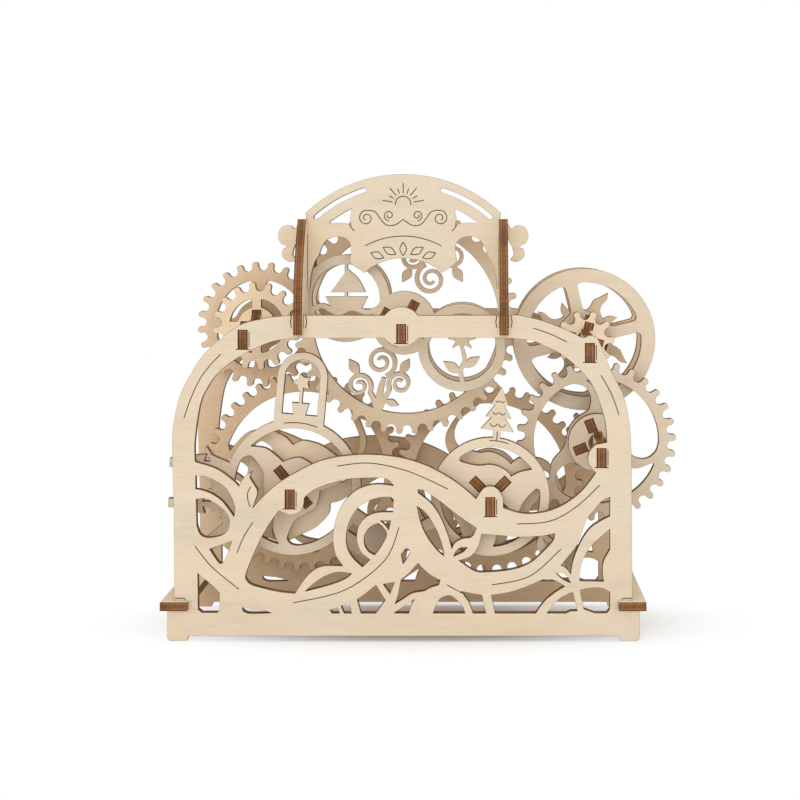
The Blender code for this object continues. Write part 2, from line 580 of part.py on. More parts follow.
def rounded(start, corner, end, steps=2):
    """A rounded corner from start to end."""
    return [tuple(a * (1 - t) ** 2 + 2 * b * t * (1 - t) + c * t * t for a, b, c in zip(start, corner, end))
            for t in (i / steps for i in range(steps + 1))]


def spoked_windows(inner, outer, spoke, corner, turn):
    """Four windows with rounded corners between straight spokes."""
    half = spoke / 2
    ring = []
    for radius, way in ((outer, -1), (inner, 1)):
        start = math.degrees(math.asin(half / radius))
        end = start + math.degrees(corner / radius)
        beside = (math.sqrt(radius ** 2 - half ** 2) + way * corner, half)
        bend = rounded(beside, polar(radius, start), polar(radius, end))
        run = bend + arc(radius, end, 90.0 - end, 4)[1:-1] + [(z, x) for x, z in bend[::-1]]
        ring += run if way < 0 else run[::-1]
    return [turned(ring, turn + 90.0 * i) for i in range(4)]


def thirds(rings):
    """Each ring three times round the axis."""
    return [turned(ring, 120.0 * i) for ring in rings for i in range(3)]


def wave_windows(rim, *edges):
    """Three windows between wave shaped spokes: the rim's arc as (radius, from, to), then the edges back to it."""
    radius, start, end = rim
    return thirds([linked([arc(radius, start, end, 8)] + [smooth(polar_line(edge), 1) for edge in edges])])


# Windows of the wheels: the rim's arc, then smooth edges as (degrees, radius)
SIDE_GEAR_WINDOW = (
    (29.7, 0.0, 97.0),
    [(99, 29.0), (94, 26.5), (88, 24.3), (83, 21.8), (77, 17.9), (70, 15.6), (60, 14.4)],
    [(60, 14.4), (38, 14.3), (16, 14.3), (-6, 14.4), (-17, 15.4), (-22.3, 19), (-22.5, 21.8), (-20, 24.8),
     (-15, 27.3), (-8, 29.1), (0, 29.7)])
LEFT_GEAR_WINDOW = (
    (39.6, 58.0, 160.0),
    [(164, 37.9), (148, 34.7), (137, 30.6), (126, 26), (115, 21), (103, 17.5), (92, 15.4)],
    [(92, 15.4), (62, 15.3), (32, 15.3), (3, 15.4)],
    [(3, 15.4), (7, 19.5), (12.5, 23.5), (19, 27.5), (28, 31.2), (36, 33), (46, 35.1), (53, 37.9), (58, 39.6)])
RIGHT_GEAR_WINDOW = (
    (37.4, -6.0, 97.0),
    [(97, 37.4), (106, 34.6), (116, 32.8), (124.2, 29.9), (129.7, 26.8), (132.5, 24.2), (133, 20.5), (129, 17),
     (122, 15.2)],
    [(122, 15.2), (92, 15.1), (62, 15.1), (32, 15.2)],
    [(32, 15.2), (31, 17.5), (29, 21), (25, 25.1), (20.5, 28), (14.2, 30.6), (4, 33.1), (-4.7, 35.3), (-9.5, 36.6)])
LEFT_SCENE_WINDOW = (
    (27.2, 34.0, 136.0),
    [(136, 27.2), (125.7, 22.2), (119, 17.0), (112, 12.6)],
    [(112, 12.6), (96, 13.0), (80, 13.9), (70, 13.8), (50, 13.8), (38, 14.6), (30.5, 16.5), (25, 20.5),
     (23.5, 24.2), (28, 26.4), (34, 27.2)])
RIGHT_SCENE_WINDOW = (
    (22.9, 33.2, 127.0),
    [(127, 22.9), (130, 21.6), (125.7, 19.1), (118, 16.6), (108, 15.1), (90, 14.8), (72, 14.4), (54.5, 14.0),
     (44.4, 13.3)],
    [(44.4, 13.3), (39.9, 17.7), (33.2, 22.9)])

# Edges of the wave shaped plates, each from one cusp to the next, clockwise
LEFT_SURF = [(92, 18.6), (84, 20.3), (76.6, 21.2), (57, 22.2), (36, 23.6), (20, 27.2), (7, 27.5), (-7, 27.2),
             (-13, 25.0), (-19, 22.7), (-25, 19.8), (-28, 18.6)]
RIGHT_SURF = [(55.7, 17.1), (53, 20.6), (49, 22.4), (40, 23.2), (20, 23.4), (-2, 22.8), (-16.3, 20.0),
              (-30, 19.9), (-44, 18.8), (-56, 17.8), (-64.3, 17.1)]
LEFT_SURF_HOLE = [(138, 25.8), (127, 25.5), (121.6, 20), (128, 19), (134, 22.5)]

# A quarter of the sun's edge as (degrees, radius): a short ray, then a long one
SUN_RUNS = [
    [(24, 13.3), (27.4, 15.9), (30, 19.6)],
    [(30, 19.6), (36.5, 17.6), (40.5, 15.4), (41, 13.7)],
    [(41, 13.7), (52, 14.6), (58, 16.6), (58.5, 19.0), (57.3, 22.0), (60, 25.2)],
    [(60, 25.2), (65.8, 21.7), (72.6, 19.1), (76.5, 15.2), (86.3, 12.9), (100, 12.8), (114, 13.3)],
]


def make_spacers(prefix, first, last, parts, reach=SPACERS, front_reach=None, back_reach=None):
    """Four bars through every plate of a wheel, drawn in the plane of the axis: x outwards, y along Y."""
    x, z = AXIS[prefix]
    inner, outer = reach
    front, back = layer(first), layer(last) + PLATE
    front_step, back_step = front + PLATE + FIT, back - PLATE - FIT
    front_outer, back_outer = (front_reach or reach)[1], (back_reach or reach)[1]
    edge = [(inner, front), (front_outer, front)]
    if front_reach:
        edge += [(front_outer, front_step), (outer, front_step)]
    if back_reach:
        edge += [(outer, back_step), (back_outer, back_step)]
    edge += [(back_outer, back), (inner, back)]
    for i in range(4):
        bar = standing(f"{prefix}_spacer_{i + 1}", flat_mesh([edge], SPACER_WIDTH), (x, 0.0, z), parts, BURNT)
        bar.rotation_euler = (0.0, -math.radians(SPACER_TURN[prefix] + 90.0 * i), 0.0)


def wheel_plate(name, axis_name, index, rings, parts, colour, reach=SPACERS, extras=()):
    """One plate of a wheel, with its hub holes, in its layer."""
    x, z = AXIS[axis_name]
    hub = hub_rings(axis_name, reach)
    mesh = joined_mesh(rings, extras, hub, PLATE) if extras else flat_mesh(rings + hub, PLATE)
    return standing(name, mesh, (x, layer(index) + PLATE / 2, z), parts, colour)


def make_corner_wheel(parts, turns):
    pinion = [gear_edge(TOOTH_COUNT["corner_pinion"], turns["corner_pinion"])]
    pinion += spoked_windows(9.2, 13.2, 4.4, 0.8, 0.0)
    wheel_plate("corner_pinion", "corner", 6, pinion, parts, MIDDLE_FACE, CORNER_SPACERS)
    gear = [gear_edge(TOOTH_COUNT["corner_gear"], turns["corner_gear"])]
    gear += spoked_windows(12.4, 22.0, 6.3, 2.6, 1.0)
    wheel_plate("corner_gear", "corner", 8, gear, parts, REAR_FACE, CORNER_SPACERS)
    make_spacers("corner", 6, 8, parts, CORNER_SPACERS)


def scroll_tree(turn):
    """A tree that grows in from the ring gear's rim and parts into three spirals, with three leaves."""
    trunk = smooth([(-13.6, -48.6), (-13.2, -42.0), (-12.4, -34.0), (-10.6, -27.6)], 3)
    left_branch = smooth([(-13.6, -44.4), (-15.2, -39.0), (-17.5, -34.4)], 3)
    right_branch = smooth([(-13.2, -43.4), (-10.6, -38.4), (-7.8, -33.2)], 3)
    shapes = [stroke(trunk, 4.6, 2.2), stroke(left_branch, 3.4, 2.2), stroke(right_branch, 3.0, 2.2)]
    for centre, outer, start, turns in (((-12.1, -20.0), 7.5, -70.0, 1.6), ((-22.7, -31.6), 6.1, -30.0, 1.45),
                                        ((-2.9, -30.6), 5.7, 210.0, -1.45)):
        shapes.append(stroke(spiral(centre, outer, 1.5, start, turns, 14), 2.3, 1.5))
    shapes += [leaf((-22.4, -26.6), (-27.6, -18.6), 0.26), leaf((-2.8, -26.2), (1.8, -18.4), 0.26),
               leaf((-10.4, -38.6), (-3.4, -41.0), 0.24)]
    return [[turned(shape, turn)] for shape in shapes]


def medal_rings():
    return [polar(MEDAL_OFFSET, MEDAL_TURN + 180.0 * i) for i in range(2)]


def boat_motif(centre):
    """A little sailing boat on a wave, inside a medallion."""
    hull = [(-9.6, 0.8), (10.4, 0.8), (7.2, -5.4), (-6.6, -5.4)]
    mast = [(-0.6, 0.0), (0.8, 0.0), (0.8, 17.0), (-0.6, 17.0)]
    sail = smooth([(0.4, 14.2), (6.0, 9.0), (9.2, 2.8)]) + [(0.4, 2.8)]
    jib = [(0.0, 12.6), (-7.2, 2.8), (0.0, 2.8)]
    sea = stroke(smooth([(-16.6, -5.8), (-11.0, -3.6), (-4.0, -6.8), (3.0, -4.6), (10.0, -6.6), (16.6, -4.4)]),
                 2.6, 2.6)
    return [[moved(shape, centre)] for shape in (hull, mast, sail, jib, sea)]


def flower_motif(centre):
    """A daisy on a stem, inside a medallion."""
    petals = [polar(6.6 if i % 2 == 0 else 3.4, 22.5 * i) for i in range(16)]
    head = smooth_loop([(a, b + 4.2) for a, b in petals], 1)
    stem = stroke(smooth([(0.0, 0.0), (1.2, -6.0), (-0.6, -11.0), (0.4, -17.0)]), 1.7, 2.4)
    leaves = [leaf((0.2, -9.6), (8.6, -4.4), 0.22), leaf((0.0, -12.4), (-8.8, -6.6), 0.22)]
    return [[moved(shape, centre)] for shape in (head, stem, *leaves)]


def make_centre_wheel(parts, turns):
    medals = medal_rings()
    rim = [gear_edge(TOOTH_COUNT["ring_gear"], turns["ring_gear"]), circle(RING_INNER, 40)]
    front = [[circle(MEDAL_OUTER, 24, centre), circle(MEDAL_INNER, 20, centre)] for centre in medals]
    extras = front + [[circle(HUB_RADIUS, 24)]] + scroll_tree(0.0) + scroll_tree(180.0)
    wheel_plate("ring_gear", "centre", 6, rim, parts, MIDDLE_FACE, extras=extras)
    motifs = boat_motif(medals[0]) + flower_motif(medals[1])
    wheel_plate("medallion_plate", "centre", 3, [circle(HUB_RADIUS + 1.4, 24)], parts, FACE, extras=front + motifs)
    make_spacers("centre", 3, 6, parts)


def sun_edge():
    """Eight wavy rays, long and short by turns."""
    quarter = [smooth(polar_line(run)) for run in SUN_RUNS]
    return linked([turned(line, 90.0 * i) for i in range(4) for line in quarter])


def make_hand_wheel(parts, turns):
    rim = [circle(HAND_RADIUS, 48)] + spoked_windows(13.4, 27.4, 5.6, 2.8, HAND_TURN)
    for name, index, colour in (("hand_wheel_front", 5, FACE), ("hand_wheel_back", 8, REAR_FACE)):
        wheel_plate(name, "hand", index, rim, parts, colour)
    wheel_plate("sun_plate", "hand", 7, [sun_edge()], parts, MIDDLE_FACE)
    reach = pinion_reach(TOOTH_COUNT["hand_pinion"])
    pinion = [gear_edge(TOOTH_COUNT["hand_pinion"], turns["hand_pinion"])]
    wheel_plate("hand_pinion", "hand", 4, pinion, parts, MIDDLE_FACE, reach)
    make_spacers("hand", 4, 8, parts, front_reach=reach)


def make_side_wheel(parts, turns):
    wheel_plate("side_hub", "side", 3, [circle(HUB_RADIUS, 24)], parts, FACE)
    gear = [gear_edge(TOOTH_COUNT["side_gear"], turns["side_gear"])] + wave_windows(*SIDE_GEAR_WINDOW)
    wheel_plate("side_gear", "side", 4, gear, parts, FACE)
    reach = pinion_reach(TOOTH_COUNT["side_pinion"])
    pinion = [gear_edge(TOOTH_COUNT["side_pinion"], turns["side_pinion"])]
    wheel_plate("side_pinion", "side", 8, pinion, parts, REAR_FACE, reach)
    make_spacers("side", 3, 8, parts, back_reach=reach)


def placed(shapes, base, turn):
    """Shapes drawn upright on a foot at (0, 0), set on a ring at a turn."""
    return [[turned([(base + z, -x) for x, z in ring], turn) for ring in rings] for rings in shapes]


def arch_window_scene(reach):
    """An arched window with a potted plant in it."""
    frame = [(-11.6, -2.0), (11.6, -2.0), (11.6, reach - 11.6)] + arc(11.6, 15.0, 165.0, 8, (0.0, reach - 11.6))
    frame.append((-11.6, reach - 11.6))
    opening = [(-8.2, 3.0), (8.2, 3.0), (8.2, reach - 11.6)] + arc(8.2, 15.0, 165.0, 7, (0.0, reach - 11.6))
    opening.append((-8.2, reach - 11.6))
    pot = [(-2.6, 2.0), (2.6, 2.0), (4.0, 8.4), (-4.0, 8.4)]
    stem = [(-0.7, 8.0), (0.7, 8.0), (0.7, 16.0), (-0.7, 16.0)]
    bloom = smooth_loop([polar(4.2 if i % 2 else 2.6, 36.0 * i, (0.0, 18.0)) for i in range(10)], 1)
    return [[frame, opening], [pot], [stem], [bloom]]


def ship_scene(reach):
    """A ship with two masts and square sails. The masts stay clear of the feet's outer line."""
    shapes = [[(-13.0, 7.0), (13.6, 8.0), (10.0, -1.2), (-9.6, -1.2)], stroke([(10.0, 6.6), (17.0, 10.6)], 2.2, 1.2)]
    top = reach - 5.0
    for x in (-9.3, 9.3):
        shapes.append(rectangle(2.4, top - 8.0, (x, (top + 6.0) / 2)))
        shapes.append(rectangle(4.2, 4.6, (x, top - 2.3)))
        shapes.append([(x - 4.4, 10.0), (x, 11.6), (x + 4.4, 10.0), (x + 3.4, 20.0), (x - 3.4, 20.0)])
    return [[shape] for shape in shapes]


def lighthouse_scene(reach):
    """A lighthouse on a rock."""
    rock = smooth([(-10.4, -1.6), (-9.0, 4.0), (-4.0, 7.2), (3.0, 6.4), (8.4, 3.6), (10.4, -1.6)])
    tower = [(-4.2, 5.0), (4.2, 5.0), (2.6, reach - 8.6), (-2.6, reach - 8.6)]
    gallery = rectangle(8.4, 1.6, (0.0, reach - 8.4))
    lamp = [(-2.2, reach - 8.0), (2.2, reach - 8.0), (2.2, reach - 3.6), (-2.2, reach - 3.6)]
    roof = [(-3.6, reach - 4.0), (3.6, reach - 4.0), (0.0, reach)]
    return [[rock], [tower], [gallery], [lamp], [roof]]


def cottage_scene(reach):
    """A cottage with a chimney."""
    wall = [(-8.6, -2.0), (8.6, -2.0), (8.6, reach * 0.52), (-8.6, reach * 0.52)]
    door = [(-2.0, 2.0), (2.0, 2.0), (2.0, 8.0), (-2.0, 8.0)]
    roof = [(-11.0, reach * 0.5), (11.0, reach * 0.5), (0.0, reach)]
    chimney = [(4.4, reach * 0.6), (7.4, reach * 0.6), (7.4, reach * 0.92), (4.4, reach * 0.92)]
    return [[wall, door], [roof], [chimney]]


def pine_scene(reach):
    """A pine tree in three tiers."""
    trunk = rectangle(3.4, 8.0, (0.0, 2.0))
    tiers = [[(-7.6 + 1.7 * i, 4.4 + i * reach * 0.24), (7.6 - 1.7 * i, 4.4 + i * reach * 0.24),
              (0.0, reach - (2 - i) * 5.0)] for i in range(3)]
    return [[trunk]] + [[tier] for tier in tiers]


def toadstool_scene(reach):
    """A toadstool."""
    stem = [(-3.0, -1.6), (3.0, -1.6), (2.2, reach - 8.0), (-2.2, reach - 8.0)]
    cap = arc(8.0, 0.0, 180.0, 9, (0.0, reach - 9.4)) + [(-5.0, reach - 11.4), (5.0, reach - 11.4)]
    return [[stem], [cap]]


def tulip_scene(reach):
    """A tulip with two leaves."""
    stem = rectangle(2.4, reach - 7.0, (0.0, (reach - 9.0) / 2))
    bloom = smooth([(0.0, reach - 10.0), (4.8, reach - 8.4), (5.2, reach)]) + [(2.4, reach - 3.6), (0.0, reach - 0.4),
            (-2.4, reach - 3.6)] + smooth([(-5.2, reach), (-4.8, reach - 8.4), (0.0, reach - 10.0)])[:-1]
    side_leaf = leaf((0.4, 2.0), (8.0, 9.6), 0.2)
    return [[stem], [bloom], [side_leaf], [mirrored(side_leaf)]]


def make_scene_wheel(prefix, first, ring, reach, scenes, window, surf, holes, parts):
    """A ring on wave shaped spokes that carries little scenes, with a wave shaped plate behind it."""
    extras = []
    for turn, scene in scenes:
        extras += placed(scene(reach - ring + 1.0), ring - 1.0, turn)
    front = [circle(ring, 40)] + wave_windows(*window)
    wheel_plate(prefix + "_scene_wheel", prefix, first, front, parts, FACE, extras=extras)
    surf_edge = linked([turned(smooth(polar_line(surf), 1), -120.0 * i) for i in range(3)])
    wheel_plate(prefix + "_wave_plate", prefix, first + 1, [surf_edge] + thirds(holes), parts, MIDDLE_FACE)


def make_left_wheel(parts, turns):
    scenes = ((85.0, arch_window_scene), (178.0, ship_scene), (214.0, lighthouse_scene), (325.0, cottage_scene))
    make_scene_wheel("left", 1, LEFT_RING, LEFT_REACH, scenes, LEFT_SCENE_WINDOW, LEFT_SURF,
                     [smooth_loop(polar_line(LEFT_SURF_HOLE))], parts)
    gear = [gear_edge(TOOTH_COUNT["left_gear"], turns["left_gear"])] + wave_windows(*LEFT_GEAR_WINDOW)
    wheel_plate("left_gear", "left", 8, gear, parts, REAR_FACE)
    make_spacers("left", 1, 8, parts)


def make_right_wheel(parts, turns):
    scenes = ((84.0, pine_scene), (204.0, toadstool_scene), (324.0, tulip_scene))
    make_scene_wheel("right", 0, RIGHT_RING, RIGHT_REACH, scenes, RIGHT_SCENE_WINDOW, RIGHT_SURF, [], parts)
    gear = [gear_edge(TOOTH_COUNT["right_gear"], turns["right_gear"])] + wave_windows(*RIGHT_GEAR_WINDOW)
    wheel_plate("right_gear", "right", 8, gear, parts, REAR_FACE)
    make_spacers("right", 0, 8, parts)


def axle_edge(first):
    """Side view of an axle, x along the depth: tenon, shoulder, bar and the stop before its wheel."""
    half = BAR_HEIGHT / 2
    end = PANEL_SPACING + PLATE
    low = [(0.0, TENON_TOP), (0.0, TENON_BOTTOM), (PLATE + SHOULDER_DEPTH, TENON_BOTTOM),
           (PLATE + SHOULDER_DEPTH, -half)]
    high = [(PLATE + FIT, half), (PLATE + FIT, TENON_TOP)]
    if first > 0:
        face = layer(first) - 2 * FIT
        low += [(face - STOP_DEPTH, -half), (face - STOP_DEPTH, -STOP_HALF), (face, -STOP_HALF), (face, -half)]
        high = [(face, half), (face, STOP_HALF), (face - STOP_DEPTH, STOP_HALF), (face - STOP_DEPTH, half)] + high
    inside = PANEL_SPACING - SHOULDER_DEPTH
    tenon = [(inside, -half), (inside, TENON_TOP - BAR_HEIGHT), (end, TENON_TOP - BAR_HEIGHT), (end, TENON_TOP),
             (PANEL_SPACING - FIT, TENON_TOP), (PANEL_SPACING - FIT, half)]
    return low + tenon + high


def make_axles(parts):
    for name, first in (("corner", 6), ("centre", 3), ("hand", 4), ("side", 3), ("right", 0), ("left", 1)):
        x, z = AXIS[name]
        upright(name + "_axle", flat_mesh([axle_edge(first)], PLATE), (x, 0.0, z), parts, BURNT)


def centre_on_origin(parts):
    """Hang every part on one empty that puts the middle of the footprint at the origin."""
    bpy.context.view_layer.update()
    corners = [part.matrix_world @ Vector(corner) for part in parts.objects for corner in part.bound_box]
    low = [min(corner[i] for corner in corners) for i in range(3)]
    high = [max(corner[i] for corner in corners) for i in range(3)]
    frame = bpy.data.objects.new("theater_frame", None)
    frame.location = (-(low[0] + high[0]) / 2, -(low[1] + high[1]) / 2, -low[2])
    for part in list(parts.objects):
        part.parent = frame
    parts.objects.link(frame)
    print("moved by", [round(value * 1000, 3) for value in frame.location])


def main():
    for leftover in list(bpy.data.objects):
        bpy.data.objects.remove(leftover)
    parts = bpy.data.collections.new("wooden_theater_model")
    bpy.context.scene.collection.children.link(parts)
    turns = gear_turns()
    make_panels(parts)
    make_cross_bars(parts)
    make_wings(parts)
    make_header(parts)
    make_axles(parts)
    make_corner_wheel(parts, turns)
    make_centre_wheel(parts, turns)
    make_hand_wheel(parts, turns)
    make_side_wheel(parts, turns)
    make_left_wheel(parts, turns)
    make_right_wheel(parts, turns)
    centre_on_origin(parts)


main()
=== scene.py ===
"""Wooden theater model: every plate sawn from three-ply sheet, stained by the cut, with its engraved lines."""
import math

import bmesh
import bpy
from mathutils import Matrix, Vector
from mathutils.geometry import delaunay_2d_cdt


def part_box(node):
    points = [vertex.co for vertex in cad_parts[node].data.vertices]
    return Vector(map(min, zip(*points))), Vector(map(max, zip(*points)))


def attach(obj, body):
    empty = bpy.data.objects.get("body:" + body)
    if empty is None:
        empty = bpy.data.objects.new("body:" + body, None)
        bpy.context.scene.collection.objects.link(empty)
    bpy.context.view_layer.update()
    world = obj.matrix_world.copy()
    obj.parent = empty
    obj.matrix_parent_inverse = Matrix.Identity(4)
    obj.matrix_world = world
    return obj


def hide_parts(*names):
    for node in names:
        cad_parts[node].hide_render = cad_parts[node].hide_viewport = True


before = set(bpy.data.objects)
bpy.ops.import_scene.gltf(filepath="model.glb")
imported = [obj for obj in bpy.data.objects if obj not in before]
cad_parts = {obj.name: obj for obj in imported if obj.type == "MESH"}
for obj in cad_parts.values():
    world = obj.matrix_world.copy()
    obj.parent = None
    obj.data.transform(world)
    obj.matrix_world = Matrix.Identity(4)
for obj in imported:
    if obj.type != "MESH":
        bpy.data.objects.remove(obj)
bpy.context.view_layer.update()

bl_info = {
    "name": "Wooden theater model",
    "version": (1, 0, 0),
    "blender": (4, 5, 0),
    "location": "View3D > Sidebar > Theater model",
    "description": "Makes the sawn plywood pieces of a wooden theater model around its frame",
    "category": "Object",
}

MM = 0.001                   # metres in a millimetre

# Frame and layers, in millimetres. X and Z from the middle of the foot line, Y from the front face
PLATE = 4.0
LAYER_START = 6.0
LAYER_PITCH = 6.25
LAST_LAYER = 8
BACK_GAP = 4.0
PANEL_SPACING = LAYER_START + LAST_LAYER * LAYER_PITCH + PLATE + BACK_GAP
FIT = 0.2
MODULE = 2.4
TOOTH_COUNT = {
    "hand_pinion": 10, "side_gear": 30, "side_pinion": 9, "right_gear": 37,
    "left_gear": 39, "corner_gear": 24, "corner_pinion": 16, "ring_gear": 44,
}
AXIS = {
    "corner": (-73.1, 140.6),
    "centre": (-1.0, 143.2),
    "hand": (84.8, 134.6),
    "side": (90.1, 86.8),
    "right": (39.5, 64.5),
    "left": (-51.7, 68.0),
}
SIDE_MARGIN = 13.9
PANEL_SIDE = AXIS["side"][0] + SIDE_MARGIN
FOOT_PROUD = 3.4
FOOT_OUTER = PANEL_SIDE + FOOT_PROUD
BAR_Z = 14.3
BAR_WIDTH = 12.4
BAR_OUTER = PANEL_SIDE + BAR_WIDTH / 2
BAR_PROUD = 3.0
TOP_MARGIN = 4.9
TOP_BAR = AXIS["centre"][1] + TOP_MARGIN
LAP_DEPTH = 5.8
LAP_HEIGHT = TOP_BAR - LAP_DEPTH
HOOK_DEPTH = 3.1
WING_BOTTOM = LAP_HEIGHT - HOOK_DEPTH
SPACER_TURN = {"corner": 90.0, "centre": 61.0, "hand": 75.0, "side": 21.0, "right": 45.0, "left": 40.0}
BAR_HEIGHT = 6.4
HUB_HOLE = 4.15
TENON_TOP = 0.6
TENON_BOTTOM = -7.8
SHOULDER_DEPTH = 1.6
STOP_DEPTH = 3.6
STOP_HALF = 5.4
SPACERS = (5.4, 11.4)        # how near and how far a spacer comes from its wheel's axis
CORNER_SPACERS = (5.0, 7.6)
SPACER_WIDTH = 4.0
SPACER_COUNT = 4
ON_EDGE = Matrix(((1, 0, 0, 0), (0, 0, 1, 0), (0, -1, 0, 0), (0, 0, 0, 1)))   # stands a lying bar on its edge
PINION_WALL = 1.3
HUB_RADIUS = 13.6
WING_PROUD = 3.5
WING_OFFSET = 46.7
HEADER_Y = 18.0
HEADER_RAISE = 3.3
HEADER_CENTRE = (AXIS["centre"][0], AXIS["centre"][1] + HEADER_RAISE)
HEADER_RADIUS = 66.5
LAP_RISE = 38.3              # the wings and the header lap this far over the header's centre
HEADER_LAP = HEADER_CENTRE[1] + LAP_RISE
WING_RISE = 7.2
WING_TOP = HEADER_LAP + WING_RISE
RING_INNER = 44.9
MEDAL_OFFSET = 29.7
MEDAL_OUTER = 20.6
MEDAL_INNER = 16.0
MEDAL_HUB_EXTRA = 1.4
MEDAL_TURN = 157.0
HAND_RADIUS = 34.0
HAND_TURN = 13.8
LEFT_RING = 31.5
LEFT_REACH = 62.5
RIGHT_RING = 27.2
RIGHT_REACH = 50.5
SCENE_LAP = 1.0              # how far a scene's foot reaches into its ring
SHIFT = Vector(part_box("front_panel")[0]) - Vector((-FOOT_OUTER * MM, 0.0, 0.0))

# A tooth: a finger with a round tip, and a round root beside it. Rises are from the pitch circle
TIP_RADIUS = 1.5
TIP_RISE = 0.54
ROOT_RADIUS = 2.27
ROOT_RISE = -0.01

STEPS = 6                    # points laid between two points of a smooth edge
ROUND = 96                   # points on a plain round edge
BEND = 24                    # steps along a part of a round edge
CORNER_STEPS = 4             # steps along a rounded corner
ROOT_STEPS = 6               # steps along a tooth's root, half as many as along its tip
SHARP_EDGE = math.radians(35.0)
FACE, EDGE, LINE = 0, 1, 2   # material slots of a sawn plate
TREE_NAME = "Repeat round the axis"
WHITE = (1.0, 1.0, 1.0)
RELIEF = 0.0001              # depth of the wood's relief, in metres

# Limits of the flat outlines, in millimetres
JOINED = 0.01                # ends of lines nearer together than this are one point
CLOSE = 0.03                 # points of an edge nearer together than this become one
STRAIGHT = 1e-4              # a point that stands off a straight run by less than this is dropped
CROSSING = 1e-5              # how exactly the crossings of edges are found
SPECK = 0.05                 # flat pieces smaller than this many square millimetres are dropped
MITRE = 1.5                  # how many widths a corner may move when its edge is eased
FOLDED = 1e-6                # how small the sum of two directions may get where an edge folds back
TOOTH_GAP = 0.02             # ends of teeth nearer together than this are joined
LEAF_BULGE = 0.24            # half width of an engraved leaf, as a share of its length
WELD = 1e-7                  # corners of a plate nearer together than this are one, in metres

# Where a plate is cut from the sheet: one of so many places, so far apart along and across the grain
SHEET_PLACES = 97
SHEET_STEP = 0.013
SHEET_SLANT = 1.7


class TheaterSizes(bpy.types.PropertyGroup):
    """Sizes that the plates share."""
    ease: bpy.props.FloatProperty(
        name="Eased edge", description="Width of the worn corner along a sawn edge", default=0.0001,
        min=0.00002, max=0.0003, subtype="DISTANCE", unit="LENGTH")
    line_width: bpy.props.FloatProperty(
        name="Engraved line width", description="Width of the engraved lines", default=0.00045,
        min=0.0002, max=0.001, subtype="DISTANCE", unit="LENGTH")
    line_depth: bpy.props.FloatProperty(
        name="Engraved line depth", description="Depth of the engraved lines", default=0.0003,
        min=0.0001, max=0.001, subtype="DISTANCE", unit="LENGTH")


class TheaterColours(bpy.types.PropertyGroup):
    """Colours of the wood, the sawn edges and the engraved lines. The middle and rear plywood are the front plywood
    made lighter and warmer as painted fill light for the shaded layers.
    """
    front: bpy.props.FloatVectorProperty(
        name="Front plywood", description="Face of the front plates", default=(0.735, 0.63, 0.49), size=3,
        min=0.0, max=1.0, subtype="COLOR")
    # Painted fill light: the middle plates' face is lighter than the front's to make up for the shade they stand in
    middle: bpy.props.FloatVectorProperty(
        name="Middle plywood", description="Face of the plates in the middle layers",
        default=(0.87, 0.72, 0.53), size=3, min=0.0, max=1.0, subtype="COLOR")
    # Painted fill light: the rear plates' face is warmer than the front's to make up for the shade they stand in
    rear: bpy.props.FloatVectorProperty(
        name="Rear plywood", description="Face of the plates at the back", default=(0.79, 0.615, 0.42), size=3,
        min=0.0, max=1.0, subtype="COLOR")
    sawn_ply: bpy.props.FloatVectorProperty(
        name="Sawn ply", description="The plies on a sawn edge", default=(0.3, 0.132, 0.042), size=3,
        min=0.0, max=1.0, subtype="COLOR")
    glue_line: bpy.props.FloatVectorProperty(
        name="Glue line", description="The glue lines on a sawn edge", default=(0.05, 0.017, 0.007), size=3,
        min=0.0, max=1.0, subtype="COLOR")
    engraved: bpy.props.FloatVectorProperty(
        name="Engraved line", description="The burnt floor of an engraved line", default=(0.12, 0.055, 0.025),
        size=3, min=0.0, max=1.0, subtype="COLOR")


# Each wheel's plates with their layers, counted from the front
LAYERS = {
    "corner": {"corner_pinion": 6, "corner_gear": 8},
    "centre": {"medallion_plate": 3, "ring_gear": 6},
    "hand": {"hand_pinion": 4, "hand_wheel_front": 5, "sun_plate": 7, "hand_wheel_back": 8},
    "side": {"side_hub": 3, "side_gear": 4, "side_pinion": 8},
    "right": {"right_scene_wheel": 0, "right_wave_plate": 1, "right_gear": 8},
    "left": {"left_scene_wheel": 1, "left_wave_plate": 2, "left_gear": 8},
}


def layer(index):
    """Front face of one layer of wheel plates."""
    return LAYER_START + LAYER_PITCH * index


# Flat outlines

def polar(radius, degrees, centre=(0.0, 0.0)):
    angle = math.radians(degrees)
    return (centre[0] + radius * math.cos(angle), centre[1] + radius * math.sin(angle))


def arc(radius, start, end, steps, centre=(0.0, 0.0)):
    return [polar(radius, start + (end - start) * i / steps, centre) for i in range(steps + 1)]


def circle(radius, steps=ROUND, centre=(0.0, 0.0)):
    return [polar(radius, 360.0 * i / steps, centre) for i in range(steps)]


def turned(points, degrees):
    cos, sin = math.cos(math.radians(degrees)), math.sin(math.radians(degrees))
    return [(x * cos - z * sin, x * sin + z * cos) for x, z in points]


def moved(points, offset):
    return [(x + offset[0], z + offset[1]) for x, z in points]


def mirrored(points):
    return [(-x, z) for x, z in points]


def catmull(before, start, end, after, t):
    """A point on the smooth curve from start to end."""
    return tuple(
        0.5 * (2 * b + (c - a) * t + (2 * a - 5 * b + 4 * c - d) * t ** 2 + (3 * b - a - 3 * c + d) * t ** 3)
        for a, b, c, d in zip(before, start, end, after)
    )


def smooth(points):
    """An open smooth line through the points."""
    line = []
    for i in range(len(points) - 1):
        before = points[max(i - 1, 0)]
        after = points[min(i + 2, len(points) - 1)]
        line += [catmull(before, points[i], points[i + 1], after, k / STEPS) for k in range(STEPS)]
    return line + [points[-1]]


def smooth_loop(points, steps=STEPS):
    """A closed smooth line through the points."""
    count = len(points)
    line = []
    for i in range(count):
        around = [points[(i + k) % count] for k in (-1, 0, 1, 2)]
        line += [catmull(*around, k / steps) for k in range(steps)]
    return line


def rectangle(width, height, centre):
    x, z = centre
    return [(x - width / 2, z - height / 2), (x + width / 2, z - height / 2),
            (x + width / 2, z + height / 2), (x - width / 2, z + height / 2)]


